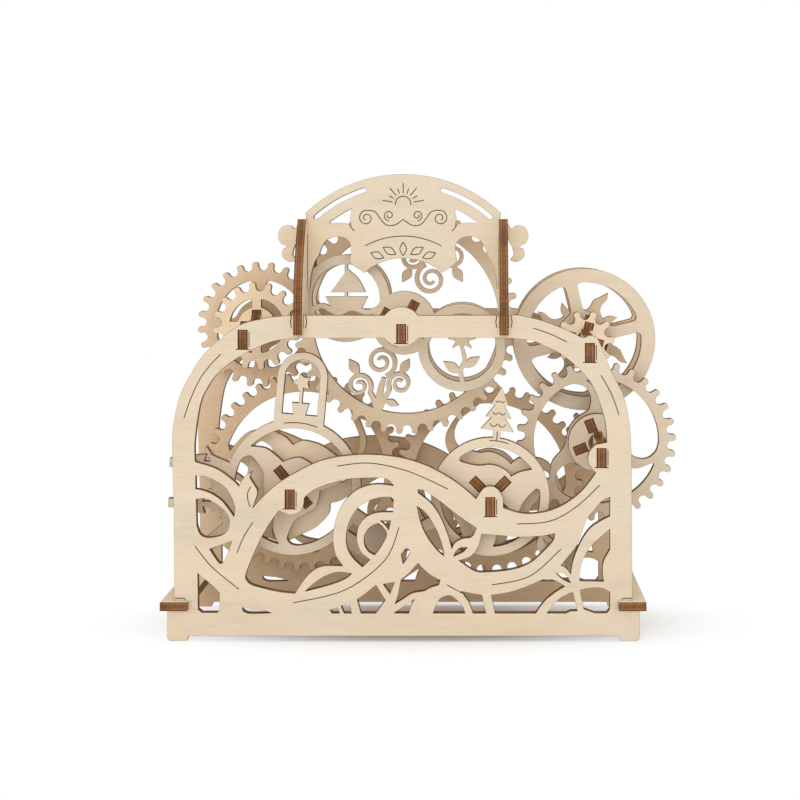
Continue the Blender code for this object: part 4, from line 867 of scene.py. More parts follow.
# Windows of the fretwork below the wave: each is a list of smooth runs that meet at corners
FRETWORK = [
    [[(-94.5, 75.2), (-89.8, 74.8), (-85.2, 72.7), (-80.7, 69.5), (-78.0, 65.0), (-76.6, 60.5), (-77.0, 56.4)],
     [(-77.0, 56.4), (-78.9, 59.1), (-82.5, 63.6), (-87.0, 66.8), (-91.6, 68.6), (-94.5, 69.1)]],
    [[(-94.3, 64.5), (-90.2, 64.8), (-85.7, 62.7), (-81.6, 59.5), (-79.3, 55.9), (-79.3, 51.8),
      (-81.1, 49.1), (-84.3, 47.5), (-89.3, 47.0), (-92.5, 48.6), (-94.0, 52.6)]],
    [[(-88.2, 41.8), (-78.0, 45.5)], [(-78.0, 45.5), (-79.3, 41.4), (-81.6, 36.4), (-83.4, 35.2),
      (-85.5, 37.6), (-88.2, 41.8)]],
    [[(-93.6, 30.9), (-89.8, 27.7), (-86.6, 25.0), (-83.6, 22.0)], [(-83.6, 14.0), (-84.6, 12.9)],
     [(-91.6, 12.9), (-93.4, 14.3)]],
    [[(-73.4, 15.2), (-66.1, 14.5), (-60.2, 12.9)], [(-60.2, 12.7), (-66.0, 12.5), (-70.7, 12.6), (-72.9, 13.6)]],
    [[(-56.6, 59.3), (-60.2, 54.5), (-64.3, 47.7), (-67.5, 40.9), (-70.2, 34.5), (-71.8, 30.0),
      (-71.4, 27.7), (-69.3, 25.7), (-64.3, 24.1), (-56.1, 22.3), (-49.3, 21.6)],
     [(-49.3, 21.6), (-44.8, 28.4), (-40.7, 32.3), (-35.7, 34.1), (-27.5, 34.1)],
     [(-27.5, 34.1), (-30.7, 39.1), (-32.0, 45.9), (-31.1, 54.1), (-28.0, 61.8), (-22.0, 68.2),
      (-16.1, 70.7), (-10.7, 71.3), (-4.3, 70.5)],
     [(-4.3, 70.5), (-8.4, 73.9), (-19.8, 74.1), (-26.6, 73.4), (-35.7, 70.9), (-41.6, 68.2), (-45.2, 65.0)],
     [(-45.2, 65.0), (-45.6, 61.4), (-47.6, 58.5), (-51.6, 57.4), (-56.6, 59.3)]],
    [[(-44.8, 22.5), (-41.1, 25.9), (-35.7, 29.5), (-29.8, 31.4), (-23.4, 30.7)],
     [(-23.4, 30.7), (-26.6, 28.2), (-33.4, 25.5), (-44.8, 22.5)]],
    [[(-33.4, 14.1), (-29.8, 15.2)], [(-29.0, 12.6), (-32.5, 12.6)]],
    [[(-28.4, 15.9), (-24.3, 17.3)], [(-23.6, 12.6), (-27.0, 12.6)]],
    [[(-21.1, 18.9), (-17.0, 21.8), (-12.5, 25.5)], [(-8.2, 18.6), (-12.5, 12.6)], [(-19.3, 12.6), (-20.0, 15.0)]],
    [[(-9.3, 25.9), (-3.9, 26.8)], [(-6.1, 21.4), (-7.7, 23.6)]],
    [[(-1.1, 28.0), (2.5, 30.9), (6.6, 35.5)], [(6.6, 35.5), (11.1, 30.9), (16.8, 27.7)],
     [(16.1, 25.5), (12.0, 24.1), (9.3, 22.7), (4.3, 21.8), (-0.2, 19.1), (-3.9, 16.8)],
     [(-3.9, 16.8), (-2.5, 20.9), (-1.1, 28.0)]],
    [[(-4.3, 12.6), (0.2, 15.9), (5.2, 19.1)], [(3.4, 15.9), (2.5, 12.6)]],
    [[(13.4, 12.6), (14.8, 16.4), (17.0, 19.5), (21.1, 20.7), (24.3, 18.6), (27.0, 15.5), (28.0, 12.6)]],
    [[(26.1, 22.7), (30.2, 21.8), (35.7, 20.9)], [(37.5, 12.6), (31.6, 12.6)], [(29.8, 17.7), (26.1, 22.7)]],
    [[(40.0, 20.9), (48.4, 22.3), (56.6, 25.0), (64.3, 28.2), (69.3, 27.3), (73.4, 24.8)],
     [(73.4, 24.8), (69.3, 22.3), (64.3, 18.2), (60.2, 12.6)], [(41.6, 12.6), (40.8, 16.8)]],
    [[(65.2, 12.6), (68.0, 16.4), (72.0, 20.0), (77.0, 22.3)], [(78.0, 18.2), (79.1, 13.6)],
     [(76.1, 13.6), (73.9, 12.6)]],
    [[(80.2, 23.2), (84.8, 24.1), (90.2, 24.1), (93.9, 22.3)], [(93.9, 14.5), (92.5, 12.7)],
     [(87.0, 12.7), (82.0, 14.5)]],
    [[(93.9, 50.9), (90.7, 48.2), (85.7, 43.6), (82.0, 37.7), (80.2, 31.4), (80.2, 27.3)],
     [(91.1, 27.0), (90.5, 31.4), (91.1, 36.4), (93.9, 41.6)]],
    [[(93.9, 65.5), (90.2, 63.6), (86.6, 59.5), (83.4, 55.5), (81.6, 50.5), (79.3, 44.5), (76.6, 40.5),
      (71.6, 34.5)], [(71.6, 34.5), (73.9, 33.2), (76.1, 30.5)],
     [(76.1, 30.5), (77.0, 35.9), (79.3, 42.3), (82.5, 48.2), (86.6, 52.7), (93.9, 56.8)]],
    [[(69.3, 30.9), (72.0, 30.9), (74.4, 29.4), (76.1, 26.4)], [(76.1, 26.4), (72.5, 28.0), (69.3, 30.9)]],
    [[(6.6, 68.9), (9.6, 68.2), (16.6, 63.6), (23.4, 58.2), (30.2, 53.4), (33.2, 51.4)],
     [(33.2, 51.4), (31.1, 47.4), (26.6, 46.4), (23.4, 44.5), (22.0, 41.8)],
     [(22.0, 41.8), (20.2, 48.2), (16.6, 56.8), (12.5, 62.7), (6.6, 67.4)]],
    [[(35.6, 48.7), (43.9, 48.0), (53.0, 47.3), (62.0, 47.7), (68.9, 48.9)],
     [(68.9, 48.9), (68.0, 45.5), (63.4, 40.5), (57.5, 35.5), (49.8, 32.6), (39.3, 31.4), (32.5, 31.8),
      (25.2, 36.6)], [(25.2, 36.6), (30.6, 38.6), (33.8, 42.8), (35.6, 48.7)]],
    [[(22.7, 38.4), (23.9, 40.9), (26.1, 42.5), (29.1, 42.5)], [(29.1, 42.5), (27.0, 40.4), (22.7, 38.4)]],
    [[(6.1, 61.4), (9.8, 58.6), (13.4, 53.6), (16.1, 48.2), (18.0, 42.3), (18.4, 38.6)],
     [(18.4, 38.6), (15.2, 41.4), (11.1, 46.8), (8.0, 53.2), (6.1, 61.4)]],
    [[(-1.1, 39.3), (1.1, 42.0), (3.0, 40.9), (2.0, 38.2), (-0.2, 35.0)]],
    [[(-4.5, 65.2), (-8.9, 65.5), (-14.8, 64.1), (-20.7, 60.5), (-24.3, 55.0), (-26.1, 48.2), (-25.5, 42.3),
      (-23.0, 37.7), (-18.6, 33.6)], [(-18.6, 33.6), (-15.2, 37.0)],
     [(-15.2, 37.0), (-18.9, 40.0), (-20.9, 44.5), (-21.1, 49.1), (-19.8, 53.2), (-16.6, 56.6),
      (-11.6, 58.4), (-4.8, 58.6)]],
    [[(-11.6, 53.6), (-15.2, 51.8), (-17.7, 48.2), (-17.7, 43.6), (-15.7, 40.5), (-13.0, 39.1)],
     [(-13.0, 39.1), (-10.0, 43.2), (-7.5, 48.6), (-9.8, 52.3)]],
    [[(-10.7, 54.8), (-5.7, 54.8)], [(-6.6, 50.4), (-8.4, 52.8)]],
]

# Engraved lines of the front panel, each a smooth line. Those at the joints, partly painted shadow, stand off by the
# gap
KERF_GAP = 1.2
PANEL_LINES = [
    [(-99.8, 101.4), (-96.6, 110.4), (-92.5, 119.1), (-88.2, 125.0), (-83.0, 130.5)],
    [(58.9, 142.3), (67.0, 139.5), (74.3, 135.9)],
    [(89.8, 120.9), (94.8, 111.8), (98.0, 102.7)],
    [(-30.2, 79.5), (-15.2, 80.9), (2.6, 77.0), (20.2, 69.1)],
    [(51.6, 53.2), (66.6, 54.5), (78.6, 61.0), (89.3, 70.9)],
    [(-94.8, 43.2), (-87.0, 33.6), (-74.8, 23.6)],
    [(-68.4, 54.1), (-72.6, 47.4), (-75.7, 40.0)],
    [(-50.2, 17.3), (-26.6, 23.2), (-8.4, 36.8), (-2.0, 51.8)],
    [(40.2, 25.5), (57.5, 29.5), (71.6, 41.8)],
    [(19.8, 25.5), (26.6, 21.8)],
    [(-69.4, 70.2), (-70.9, 67.0), (-70.6, 63.6), (-69.6, 61.0)],
]


def front_mortise(axis):
    """Slot for an axle's front tenon, which hangs below the axis."""
    x, z = axis
    height = TENON_TOP - TENON_BOTTOM + 2 * FIT
    return rectangle(PLATE + 2 * FIT, height, (x, z + (TENON_TOP + TENON_BOTTOM) / 2))


def back_mortise(axis):
    """Slot for an axle's back tenon."""
    x, z = axis
    return rectangle(PLATE + 2 * FIT, BAR_HEIGHT + 2 * FIT, (x, z + TENON_TOP - BAR_HEIGHT / 2))


def kerfs_and_joint_shadows():
    """Thin cuts round the joints: beside the wings, above the feet and at each mortise. The cut above each foot is
    painted shadow of the gap over the cross bar, and those under and beside each mortise are painted shadow where a
    tenon's shade falls.
    """
    lines = []
    for side in (-1, 1):
        middle = AXIS["centre"][0] + side * WING_OFFSET
        for edge in (-1, 1):
            x = middle + edge * (PLATE / 2 + KERF_GAP)
            lines.append([(x, TOP_BAR - 0.1), (x + edge * 0.5, TOP_BAR - 3.1), (x, LAP_HEIGHT + 0.1)])
        # Painted shadow: a dark line where the gap over the cross bar shades the panel
        over_bar = BAR_Z + PLATE + 1.1
        lines.append([(side * (PANEL_SIDE - inwards), over_bar - drop)
                      for inwards, drop in ((0.1, 0.0), (4.3, 0.0), (4.9, 0.8))])
    for x, z in AXIS.values():
        # Painted shadow: dark lines under and beside the mortise where a tenon's shade falls
        low = z + TENON_BOTTOM - FIT
        lines.append([(x - PLATE / 2 - KERF_GAP, low), (x + PLATE / 2 + KERF_GAP, low)])
        lines.append([(x + PLATE / 2 + 0.9, low + 1.0), (x + PLATE / 2 + 0.9, z + TENON_TOP - 0.6)])
    return lines


def make_panels(sizes):
    windows = [stage_opening()] + [joined_runs(window) for window in FRETWORK]
    lines = [smooth(line) for line in PANEL_LINES] + kerfs_and_joint_shadows()
    for node, front, mortise, face, engraved in (("front_panel", 0.0, front_mortise, "front", lines),
                                                 ("back_panel", PANEL_SPACING, back_mortise, "rear", ())):
        rings = merged([[panel_edge()] + windows], [mortise(axis) for axis in AXIS.values()])
        mesh = sawn_plate(sizes, node + "_wood", rings, face, 0.0, engraved)
        stand(mesh, (0.0, front + PLATE / 2, 0.0))
        finished(node + "_wood", mesh, "frame", SLOTS[face], node)


def make_cross_bars(sizes):
    """Two bars that lap into both panels just above the feet and tie them together."""
    back = PANEL_SPACING + PLATE + BAR_PROUD
    inner = BAR_OUTER - BAR_WIDTH
    for node, side in (("left_cross_bar", -1), ("right_cross_bar", 1)):
        edge = [(BAR_OUTER, -BAR_PROUD), (BAR_OUTER, back), (inner, back)]
        for start in (PANEL_SPACING, 0.0):
            edge += [(inner, start + PLATE + FIT), (PANEL_SIDE, start + PLATE + FIT), (PANEL_SIDE, start - FIT),
                     (inner, start - FIT)]
        edge.append((inner, -BAR_PROUD))
        mesh = sawn_plate(sizes, node + "_wood", [[(side * x, y) for x, y in edge]], "middle", 90.0)
        mesh.transform(Matrix.Translation(Vector((0.0, 0.0, BAR_Z + PLATE / 2)) * MM + SHIFT))
        finished(node + "_wood", mesh, "frame", "burnt_plywood", node)


# Wings and header board

def wing_edge():
    """Side view of a wing, x along the model's depth: it laps over both panels' top bars."""
    back = PANEL_SPACING + PLATE
    hook_top = LAP_HEIGHT + FIT
    near, far = HEADER_Y + PLATE, PANEL_SPACING - 3.3
    lap, top = HEADER_LAP, WING_TOP
    front_leg = [(-WING_PROUD, WING_BOTTOM), (-FIT, WING_BOTTOM), (-FIT, hook_top), (PLATE + FIT, hook_top),
                 (PLATE + FIT, WING_BOTTOM), (near, WING_BOTTOM)]
    arch = smooth([(near, lap - 24.8), (near + 1.0, lap - 15.8), (near + 7.0, lap - 8.4), (near + 16.0, lap - 5.8),
                   (far - 10.7, lap - 5.8), (far - 3.2, lap - 8.8), (far, lap - 16.8), (far, lap - 26.8)])
    back_leg = [(far, WING_BOTTOM), (PANEL_SPACING - FIT, WING_BOTTOM), (PANEL_SPACING - FIT, hook_top),
                (back + FIT, hook_top), (back + FIT, WING_BOTTOM), (back + WING_PROUD, WING_BOTTOM)]
    rise = smooth([(-WING_PROUD, top - 42.0), (-2.4, top - 32.0), (0.6, top - 22.0), (5.4, top - 12.0),
                   (10.6, top - 4.0), (14.0, top)])
    back_rise = [(back - y, z) for y, z in rise]
    slot = [(HEADER_Y + PLATE + FIT, WING_TOP), (HEADER_Y + PLATE + FIT, HEADER_LAP - FIT),
            (HEADER_Y - FIT, HEADER_LAP - FIT), (HEADER_Y - FIT, WING_TOP)]
    return front_leg + arch + back_leg + back_rise + slot + rise[::-1]


def make_wings(sizes):
    for node, side in (("left_wing", -1), ("right_wing", 1)):
        upright_board(sizes, node, wing_edge(), 90.0, AXIS["centre"][0] + side * WING_OFFSET)


def header_half():
    """Right half of the header board's edge, from the middle of its foot outwards."""
    lap, lap_top = PLATE / 2 + FIT, HEADER_LAP - HEADER_CENTRE[1]
    bottom = arc(27.3, 90.0, 48.5, 20)
    drape = [(-22.1, 25.2), (-22.4, 30.0), (-21.9, 34.0), (-19.7, 36.6), (-15.7, 37.4), (-11.5, 36.2),
             (-9.0, 32.9), (-7.2, 28.3), (-5.4, 25.5), (-3.7, 19.4), (-3.0, 13.0)]
    notch = [(-lap, 13.0), (-lap, lap_top), (lap, lap_top), (lap, 36.0)]
    scroll = smooth([(3.9, 33.0), (4.9, 29.0), (3.3, 26.4), (6.7, 25.6), (9.7, 28.0), (9.5, 31.4), (7.7, 32.6),
                     (10.7, 34.6), (11.7, 38.4), (9.9, 41.8), (6.3, 42.6), (3.9, 40.8)])
    beside_wing = notch + scroll + [(1.7, 44.2), (-1.5, 45.4)]
    wing = (WING_OFFSET, 0.0)
    return (bottom + smooth([bottom[-1]] + moved(drape, wing))[1:] + moved(beside_wing, wing)
            + arc(HEADER_RADIUS, 46.6, 90.0, 40))


def header_lines():
    """Engraved ornament of the header: a rising sun, a band of scrolls, a banner arc and five leaves."""
    sun = (0.0, 52.6)
    lines = [arc(36.8, 61.0, 119.0, BEND, (0.0, 0.8)), arc(3.6, -8.0, 188.0, BEND, sun)]
    for i in range(9):
        angle = 10.0 + 20.0 * i
        lines.append([polar(5.0, angle, sun), polar(7.6 if i % 2 else 9.8, angle, sun)])
    lines += leaf_lines((0.0, 28.4), (0.0, 34.8))
    half = [spiral((17.2, 46.0), 3.6, 0.9, 90.0, -1.45, 36), spiral((6.6, 47.2), 2.5, 0.7, 270.0, 1.35, 30),
            smooth([(17.2, 49.6), (13.2, 49.0), (10.6, 45.6), (7.8, 42.8), (3.8, 42.8), (0.0, 45.4)]),
            smooth([(24.9, 44.4), (24.7, 42.2), (22.8, 40.0)]),
            *leaf_lines((3.4, 29.0), (9.4, 32.4)), *leaf_lines((9.0, 27.4), (15.2, 29.8))]
    return lines + half + [mirrored(line) for line in half]


def make_header(sizes):
    half = header_half()
    rim = HEADER_RADIUS
    slot = arc(rim - 3.6, 48.5, 73.0, BEND) + [polar(rim - 4.7, 73.9)]
    slot += arc(rim - 5.8, 73.0, 48.5, BEND) + [polar(rim - 4.7, 47.6)]
    window = arc(rim - 10.6, 52.0, 64.5, 12)
    window += smooth(polar_line([(63.5, rim - 12.2), (61.7, rim - 14.2), (60.3, rim - 17.7)]))
    window += smooth(polar_line([(59.1, rim - 15.9), (55.6, rim - 13.4), (51.6, rim - 10.8)]))
    rings = [half[:-1] + mirrored(half)[::-1][:-1], slot, window, mirrored(slot), mirrored(window)]
    mesh = sawn_plate(sizes, "header_board_wood", merged([rings]), "front", 0.0, header_lines())
    cx, cz = HEADER_CENTRE
    stand(mesh, (cx, HEADER_Y + PLATE / 2, cz))
    finished("header_board_wood", mesh, "frame", "face_plywood", "header_board")


# Wheels

def line_of_centres(one, other):
    (ax, az), (bx, bz) = AXIS[one], AXIS[other]
    return math.degrees(math.atan2(bz - az, bx - ax))


def gear_turns():
    """How each gear is turned at rest, so that every pair is in mesh."""
    turns = {"hand_pinion": 0.0, "side_pinion": 12.0, "corner_pinion": 6.0}
    mesh = [("hand_pinion", "side_gear", "hand", "side"), ("side_pinion", "right_gear", "side", "right"),
            ("right_gear", "left_gear", "right", "left"), ("left_gear", "corner_gear", "left", "corner"),
            ("corner_pinion", "ring_gear", "corner", "centre")]
    for driver, driven, one, other in mesh:
        way = line_of_centres(one, other)
        teeth, others = TOOTH_COUNT[driver], TOOTH_COUNT[driven]
        turns[driven] = way + 180.0 - (turns[driver] - way) * teeth / others + 180.0 / others
    return turns


TURNS = gear_turns()


def pinion_reach(name):
    """How near and how far a spacer's tenon may come in a small pinion."""
    inner, outer = SPACERS
    return inner, min(outer, pitch_radius(name) - ROOT_RADIUS - PINION_WALL)


def hub_cuts(wheel, reach):
    """The hub hole and the four mortises for the spacers."""
    inner, outer = reach
    mortise = rectangle(outer - inner + 2 * FIT, SPACER_WIDTH + 2 * FIT, ((inner + outer) / 2, 0.0))
    return [circle(HUB_HOLE, 48)] + [turned(mortise, SPACER_TURN[wheel] + 90.0 * i) for i in range(SPACER_COUNT)]


def rounded(start, corner, end):
    """A rounded corner from start to end."""
    return [tuple(a * (1 - t) ** 2 + 2 * b * t * (1 - t) + c * t * t for a, b, c in zip(start, corner, end))
            for t in (i / CORNER_STEPS for i in range(CORNER_STEPS + 1))]


def spoked_windows(inner, outer, spoke, corner, turn):
    """Four windows with rounded corners between straight spokes."""
    half = spoke / 2
    ring = []
    for radius, way in ((outer, -1), (inner, 1)):
        start = math.degrees(math.asin(half / radius))
        end = start + math.degrees(corner / radius)
        beside = (math.sqrt(radius ** 2 - half ** 2) + way * corner, half)
        bend = rounded(beside, polar(radius, start), polar(radius, end))
        run = bend + arc(radius, end, 90.0 - end, BEND)[1:-1] + [(z, x) for x, z in bend[::-1]]
        ring += run if way < 0 else run[::-1]
    return [turned(ring, turn + 90.0 * i) for i in range(4)]


def thirds(rings):
    """Each ring three times round the axis."""
    return [turned(ring, 120.0 * i) for ring in rings for i in range(3)]


def wave_windows(rim, *edges):
    """Three windows between wave shaped spokes: the rim's arc as (radius, from, to), then the edges back to it."""
    radius, start, end = rim
    return thirds([linked([arc(radius, start, end, 32)] + [smooth(polar_line(edge)) for edge in edges])])


# Windows of the wheels: the rim's arc, then smooth edges as (degrees, radius)
SIDE_GEAR_WINDOW = (
    (29.7, 0.0, 97.0),
    [(99, 29.0), (94, 26.5), (88, 24.3), (83, 21.8), (77, 17.9), (70, 15.6), (60, 14.4)],
    [(60, 14.4), (38, 14.3), (16, 14.3), (-6, 14.4), (-17, 15.4), (-22.3, 19), (-22.5, 21.8), (-20, 24.8),
     (-15, 27.3), (-8, 29.1), (0, 29.7)])
LEFT_GEAR_WINDOW = (
    (39.6, 58.0, 160.0),
    [(164, 37.9), (148, 34.7), (137, 30.6), (126, 26), (115, 21), (103, 17.5), (92, 15.4)],
    [(92, 15.4), (62, 15.3), (32, 15.3), (3, 15.4)],
    [(3, 15.4), (7, 19.5), (12.5, 23.5), (19, 27.5), (28, 31.2), (36, 33), (46, 35.1), (53, 37.9), (58, 39.6)])
RIGHT_GEAR_WINDOW = (
    (37.4, -6.0, 97.0),
    [(97, 37.4), (106, 34.6), (116, 32.8), (124.2, 29.9), (129.7, 26.8), (132.5, 24.2), (133, 20.5), (129, 17),
     (122, 15.2)],
    [(122, 15.2), (92, 15.1), (62, 15.1), (32, 15.2)],
    [(32, 15.2), (31, 17.5), (29, 21), (25, 25.1), (20.5, 28), (14.2, 30.6), (4, 33.1), (-4.7, 35.3), (-9.5, 36.6)])
LEFT_SCENE_WINDOW = (
    (27.2, 34.0, 136.0),
    [(136, 27.2), (125.7, 22.2), (119, 17.0), (112, 12.6)],
    [(112, 12.6), (96, 13.0), (80, 13.9), (70, 13.8), (50, 13.8), (38, 14.6), (30.5, 16.5), (25, 20.5),
     (23.5, 24.2), (28, 26.4), (34, 27.2)])
RIGHT_SCENE_WINDOW = (
    (22.9, 33.2, 127.0),
    [(127, 22.9), (130, 21.6), (125.7, 19.1), (118, 16.6), (108, 15.1), (90, 14.8), (72, 14.4), (54.5, 14.0),
     (44.4, 13.3)],
    [(44.4, 13.3), (39.9, 17.7), (33.2, 22.9)])

# Edges of the wave shaped plates, each from one cusp to the next, clockwise
LEFT_SURF = [(92, 18.6), (84, 20.3), (76.6, 21.2), (57, 22.2), (36, 23.6), (20, 27.2), (7, 27.5), (-7, 27.2),
             (-13, 25.0), (-19, 22.7), (-25, 19.8), (-28, 18.6)]
RIGHT_SURF = [(55.7, 17.1), (53, 20.6), (49, 22.4), (40, 23.2), (20, 23.4), (-2, 22.8), (-16.3, 20.0),
              (-30, 19.9), (-44, 18.8), (-56, 17.8), (-64.3, 17.1)]
LEFT_SURF_HOLE = [(138, 25.8), (127, 25.5), (121.6, 20), (128, 19), (134, 22.5)]


def wheel_plate(sizes, wheel, node, solids, face, grain=0.0, reach=SPACERS, lines=()):
    """One plate of a wheel, with its hub holes, in its layer."""
    x, z = AXIS[wheel]
    mesh = sawn_plate(sizes, node + "_wood", merged(solids, hub_cuts(wheel, reach)), face, grain, lines)
    stand(mesh, (x, layer(LAYERS[wheel][node]) + PLATE / 2, z))
    finished(node + "_wood", mesh, wheel + "_wheel", SLOTS[face], node)


def toothed(name, *windows):
    """A gear's flat shape: its toothed edge and its windows."""
    return [toothed_ring(name, TURNS[name], woods("front")[0])] + list(windows)


def make_spacers(sizes, wheel, reach=SPACERS, front_reach=None, back_reach=None):
    """Four bars through every plate of a wheel, repeated round its axis as one piece."""
    x, z = AXIS[wheel]
    inner, outer = reach
    front, back = layer(min(LAYERS[wheel].values())), layer(max(LAYERS[wheel].values())) + PLATE
    front_step, back_step = front + PLATE + FIT, back - PLATE - FIT
    front_outer, back_outer = (front_reach or reach)[1], (back_reach or reach)[1]
    edge = [(inner, front), (front_outer, front)]
    if front_reach:
        edge += [(front_outer, front_step), (outer, front_step)]
    if back_reach:
        edge += [(outer, back_step), (back_outer, back_step)]
    edge += [(back_outer, back), (inner, back)]
    bar = plate_mesh(wheel + "_spacer", [edge], SPACER_WIDTH, sizes.ease / MM)
    face, sawn, _ = woods("middle")
    dress(bar, 90.0, (face, sawn), SPACER_WIDTH)
    flat = bar.attributes.new("flat", "BOOLEAN", "FACE")
    flat.data.foreach_set("value", [polygon.material_index == FACE for polygon in bar.polygons])
    bar.transform(ON_EDGE)
    mesh = repeated(bar, SPACER_COUNT, SPACER_TURN[wheel], 0.0, sawn, face)
    stand(mesh, (x, 0.0, z))
    nodes = [f"{wheel}_spacer_{i + 1}" for i in range(SPACER_COUNT)]
    finished(wheel + "_spacers_wood", mesh, wheel + "_wheel", "burnt_plywood", *nodes)


def make_corner_wheel(sizes):
    pinion = toothed("corner_pinion", *spoked_windows(9.2, 13.2, 4.4, 0.8, 0.0))
    wheel_plate(sizes, "corner", "corner_pinion", [pinion], "middle", 30.0, CORNER_SPACERS)
    gear = toothed("corner_gear", *spoked_windows(12.4, 22.0, 6.3, 2.6, 1.0))
    wheel_plate(sizes, "corner", "corner_gear", [gear], "rear", 70.0, CORNER_SPACERS)
    make_spacers(sizes, "corner", CORNER_SPACERS)


def scroll_tree(turn):
    """A tree that grows in from the ring gear's rim and parts into three spirals, with three leaves."""
    trunk = smooth([(-13.6, -48.6), (-13.2, -42.0), (-12.4, -34.0), (-10.6, -27.6)])
    left_branch = smooth([(-13.6, -44.4), (-15.2, -39.0), (-17.5, -34.4)])
    right_branch = smooth([(-13.2, -43.4), (-10.6, -38.4), (-7.8, -33.2)])
    shapes = [stroke(trunk, 4.6, 2.2), stroke(left_branch, 3.4, 2.2), stroke(right_branch, 3.0, 2.2)]
    for centre, outer, start, turns in (((-12.1, -20.0), 7.5, -70.0, 1.6), ((-22.7, -31.6), 6.1, -30.0, 1.45),
                                        ((-2.9, -30.6), 5.7, 210.0, -1.45)):
        shapes.append(stroke(spiral(centre, outer, 1.5, start, turns, 56), 2.3, 1.5))
    shapes += [leaf((-22.4, -26.6), (-27.6, -18.6), 0.26), leaf((-2.8, -26.2), (1.8, -18.4), 0.26),
               leaf((-10.4, -38.6), (-3.4, -41.0), 0.24)]
    return [[turned(shape, turn)] for shape in shapes]


def boat_motif(centre):
    """A little sailing boat on a wave, inside a medallion."""
    hull = [(-9.6, 0.8), (10.4, 0.8), (7.2, -5.4), (-6.6, -5.4)]
    mast = [(-0.6, 0.0), (0.8, 0.0), (0.8, 17.0), (-0.6, 17.0)]
    sail = smooth([(0.4, 14.2), (6.0, 9.0), (9.2, 2.8)]) + [(0.4, 2.8)]
    jib = [(0.0, 12.6), (-7.2, 2.8), (0.0, 2.8)]
    sea = stroke(smooth([(-16.6, -5.8), (-11.0, -3.6), (-4.0, -6.8), (3.0, -4.6), (10.0, -6.6), (16.6, -4.4)]), 2.6)
    return [[moved(shape, centre)] for shape in (hull, mast, sail, jib, sea)]


def flower_motif(centre):
    """A daisy on a stem, inside a medallion."""
    petals = [polar(6.6 if i % 2 == 0 else 3.4, 22.5 * i) for i in range(16)]
    head = smooth_loop([(a, b + 4.2) for a, b in petals], 3)
    stem = stroke(smooth([(0.0, 0.0), (1.2, -6.0), (-0.6, -11.0), (0.4, -17.0)]), 1.7, 2.4)
    leaves = [leaf((0.2, -9.6), (8.6, -4.4), 0.22), leaf((0.0, -12.4), (-8.8, -6.6), 0.22)]
    return [[moved(shape, centre)] for shape in (head, stem, *leaves)]


def make_centre_wheel(sizes):
    medals = [polar(MEDAL_OFFSET, MEDAL_TURN + 180.0 * i) for i in range(2)]
    rings = [[circle(MEDAL_OUTER, ROUND, centre), circle(MEDAL_INNER, ROUND, centre)] for centre in medals]
    rim = toothed("ring_gear", circle(RING_INNER, 2 * ROUND))
    solids = [rim] + rings + [[circle(HUB_RADIUS)]] + scroll_tree(0.0) + scroll_tree(180.0)
    wheel_plate(sizes, "centre", "ring_gear", solids, "middle", 15.0)
    motifs = boat_motif(medals[0]) + flower_motif(medals[1])
    hub = [circle(HUB_RADIUS + MEDAL_HUB_EXTRA)]
    wheel_plate(sizes, "centre", "medallion_plate", [hub] + rings + motifs, "front")
    make_spacers(sizes, "centre")


# A quarter of the sun's edge as (degrees, radius): a short ray, then a long one
SUN_RUNS = [
    [(24, 13.3), (27.4, 15.9), (30, 19.6)],
    [(30, 19.6), (36.5, 17.6), (40.5, 15.4), (41, 13.7)],
    [(41, 13.7), (52, 14.6), (58, 16.6), (58.5, 19.0), (57.3, 22.0), (60, 25.2)],
    [(60, 25.2), (65.8, 21.7), (72.6, 19.1), (76.5, 15.2), (86.3, 12.9), (100, 12.8), (114, 13.3)],
]


def sun_edge():
    """Eight wavy rays, long and short by turns."""
    quarter = [smooth(polar_line(run)) for run in SUN_RUNS]
    return linked([turned(line, 90.0 * i) for i in range(4) for line in quarter])


def make_hand_wheel(sizes):
    rim = [circle(HAND_RADIUS, 2 * ROUND)] + spoked_windows(13.4, 27.4, 5.6, 2.8, HAND_TURN)
    wheel_plate(sizes, "hand", "hand_wheel_front", [rim], "front")
    wheel_plate(sizes, "hand", "hand_wheel_back", [rim], "rear")
    wheel_plate(sizes, "hand", "sun_plate", [[sun_edge()]], "middle", 40.0)
    reach = pinion_reach("hand_pinion")
    wheel_plate(sizes, "hand", "hand_pinion", [toothed("hand_pinion")], "middle", 0.0, reach)
    make_spacers(sizes, "hand", front_reach=reach)


def make_side_wheel(sizes):
    wheel_plate(sizes, "side", "side_hub", [[circle(HUB_RADIUS)]], "front", 60.0)
    gear = toothed("side_gear", *wave_windows(*SIDE_GEAR_WINDOW))
    wheel_plate(sizes, "side", "side_gear", [gear], "front", 20.0)
    reach = pinion_reach("side_pinion")
    wheel_plate(sizes, "side", "side_pinion", [toothed("side_pinion")], "rear", 0.0, reach)
    make_spacers(sizes, "side", back_reach=reach)


def placed(shapes, base, turn):
    """Shapes drawn upright on a foot at (0, 0), set on a ring at a turn."""
    return [[turned([(base + z, -x) for x, z in ring], turn) for ring in rings] for rings in shapes]


def straight(foot_half, top_half, foot, top):
    """An even shape with straight sides, given by its half widths and heights at foot and top."""
    return [(-foot_half, foot), (foot_half, foot), (top_half, top), (-top_half, top)]


def arch_edge(half, foot, spring):
    """An even shape with straight sides up to the spring line and a round top."""
    return [(-half, foot), (half, foot), (half, spring), *arc(half, 4.0, 176.0, BEND, (0.0, spring)), (-half, spring)]


def arch_window_scene(reach):
    """An arched window with a potted plant in it."""
    frame_edge, opening = arch_edge(11.6, -2.0, reach - 11.6), arch_edge(8.2, 3.0, reach - 11.6)
    bloom = smooth_loop([polar(4.2 if i % 2 else 2.6, 36.0 * i, (0.0, 18.0)) for i in range(10)], 3)
    return [[frame_edge, opening], [straight(2.6, 4.0, 2.0, 8.4)], [straight(0.7, 0.7, 8.0, 16.0)], [bloom]]


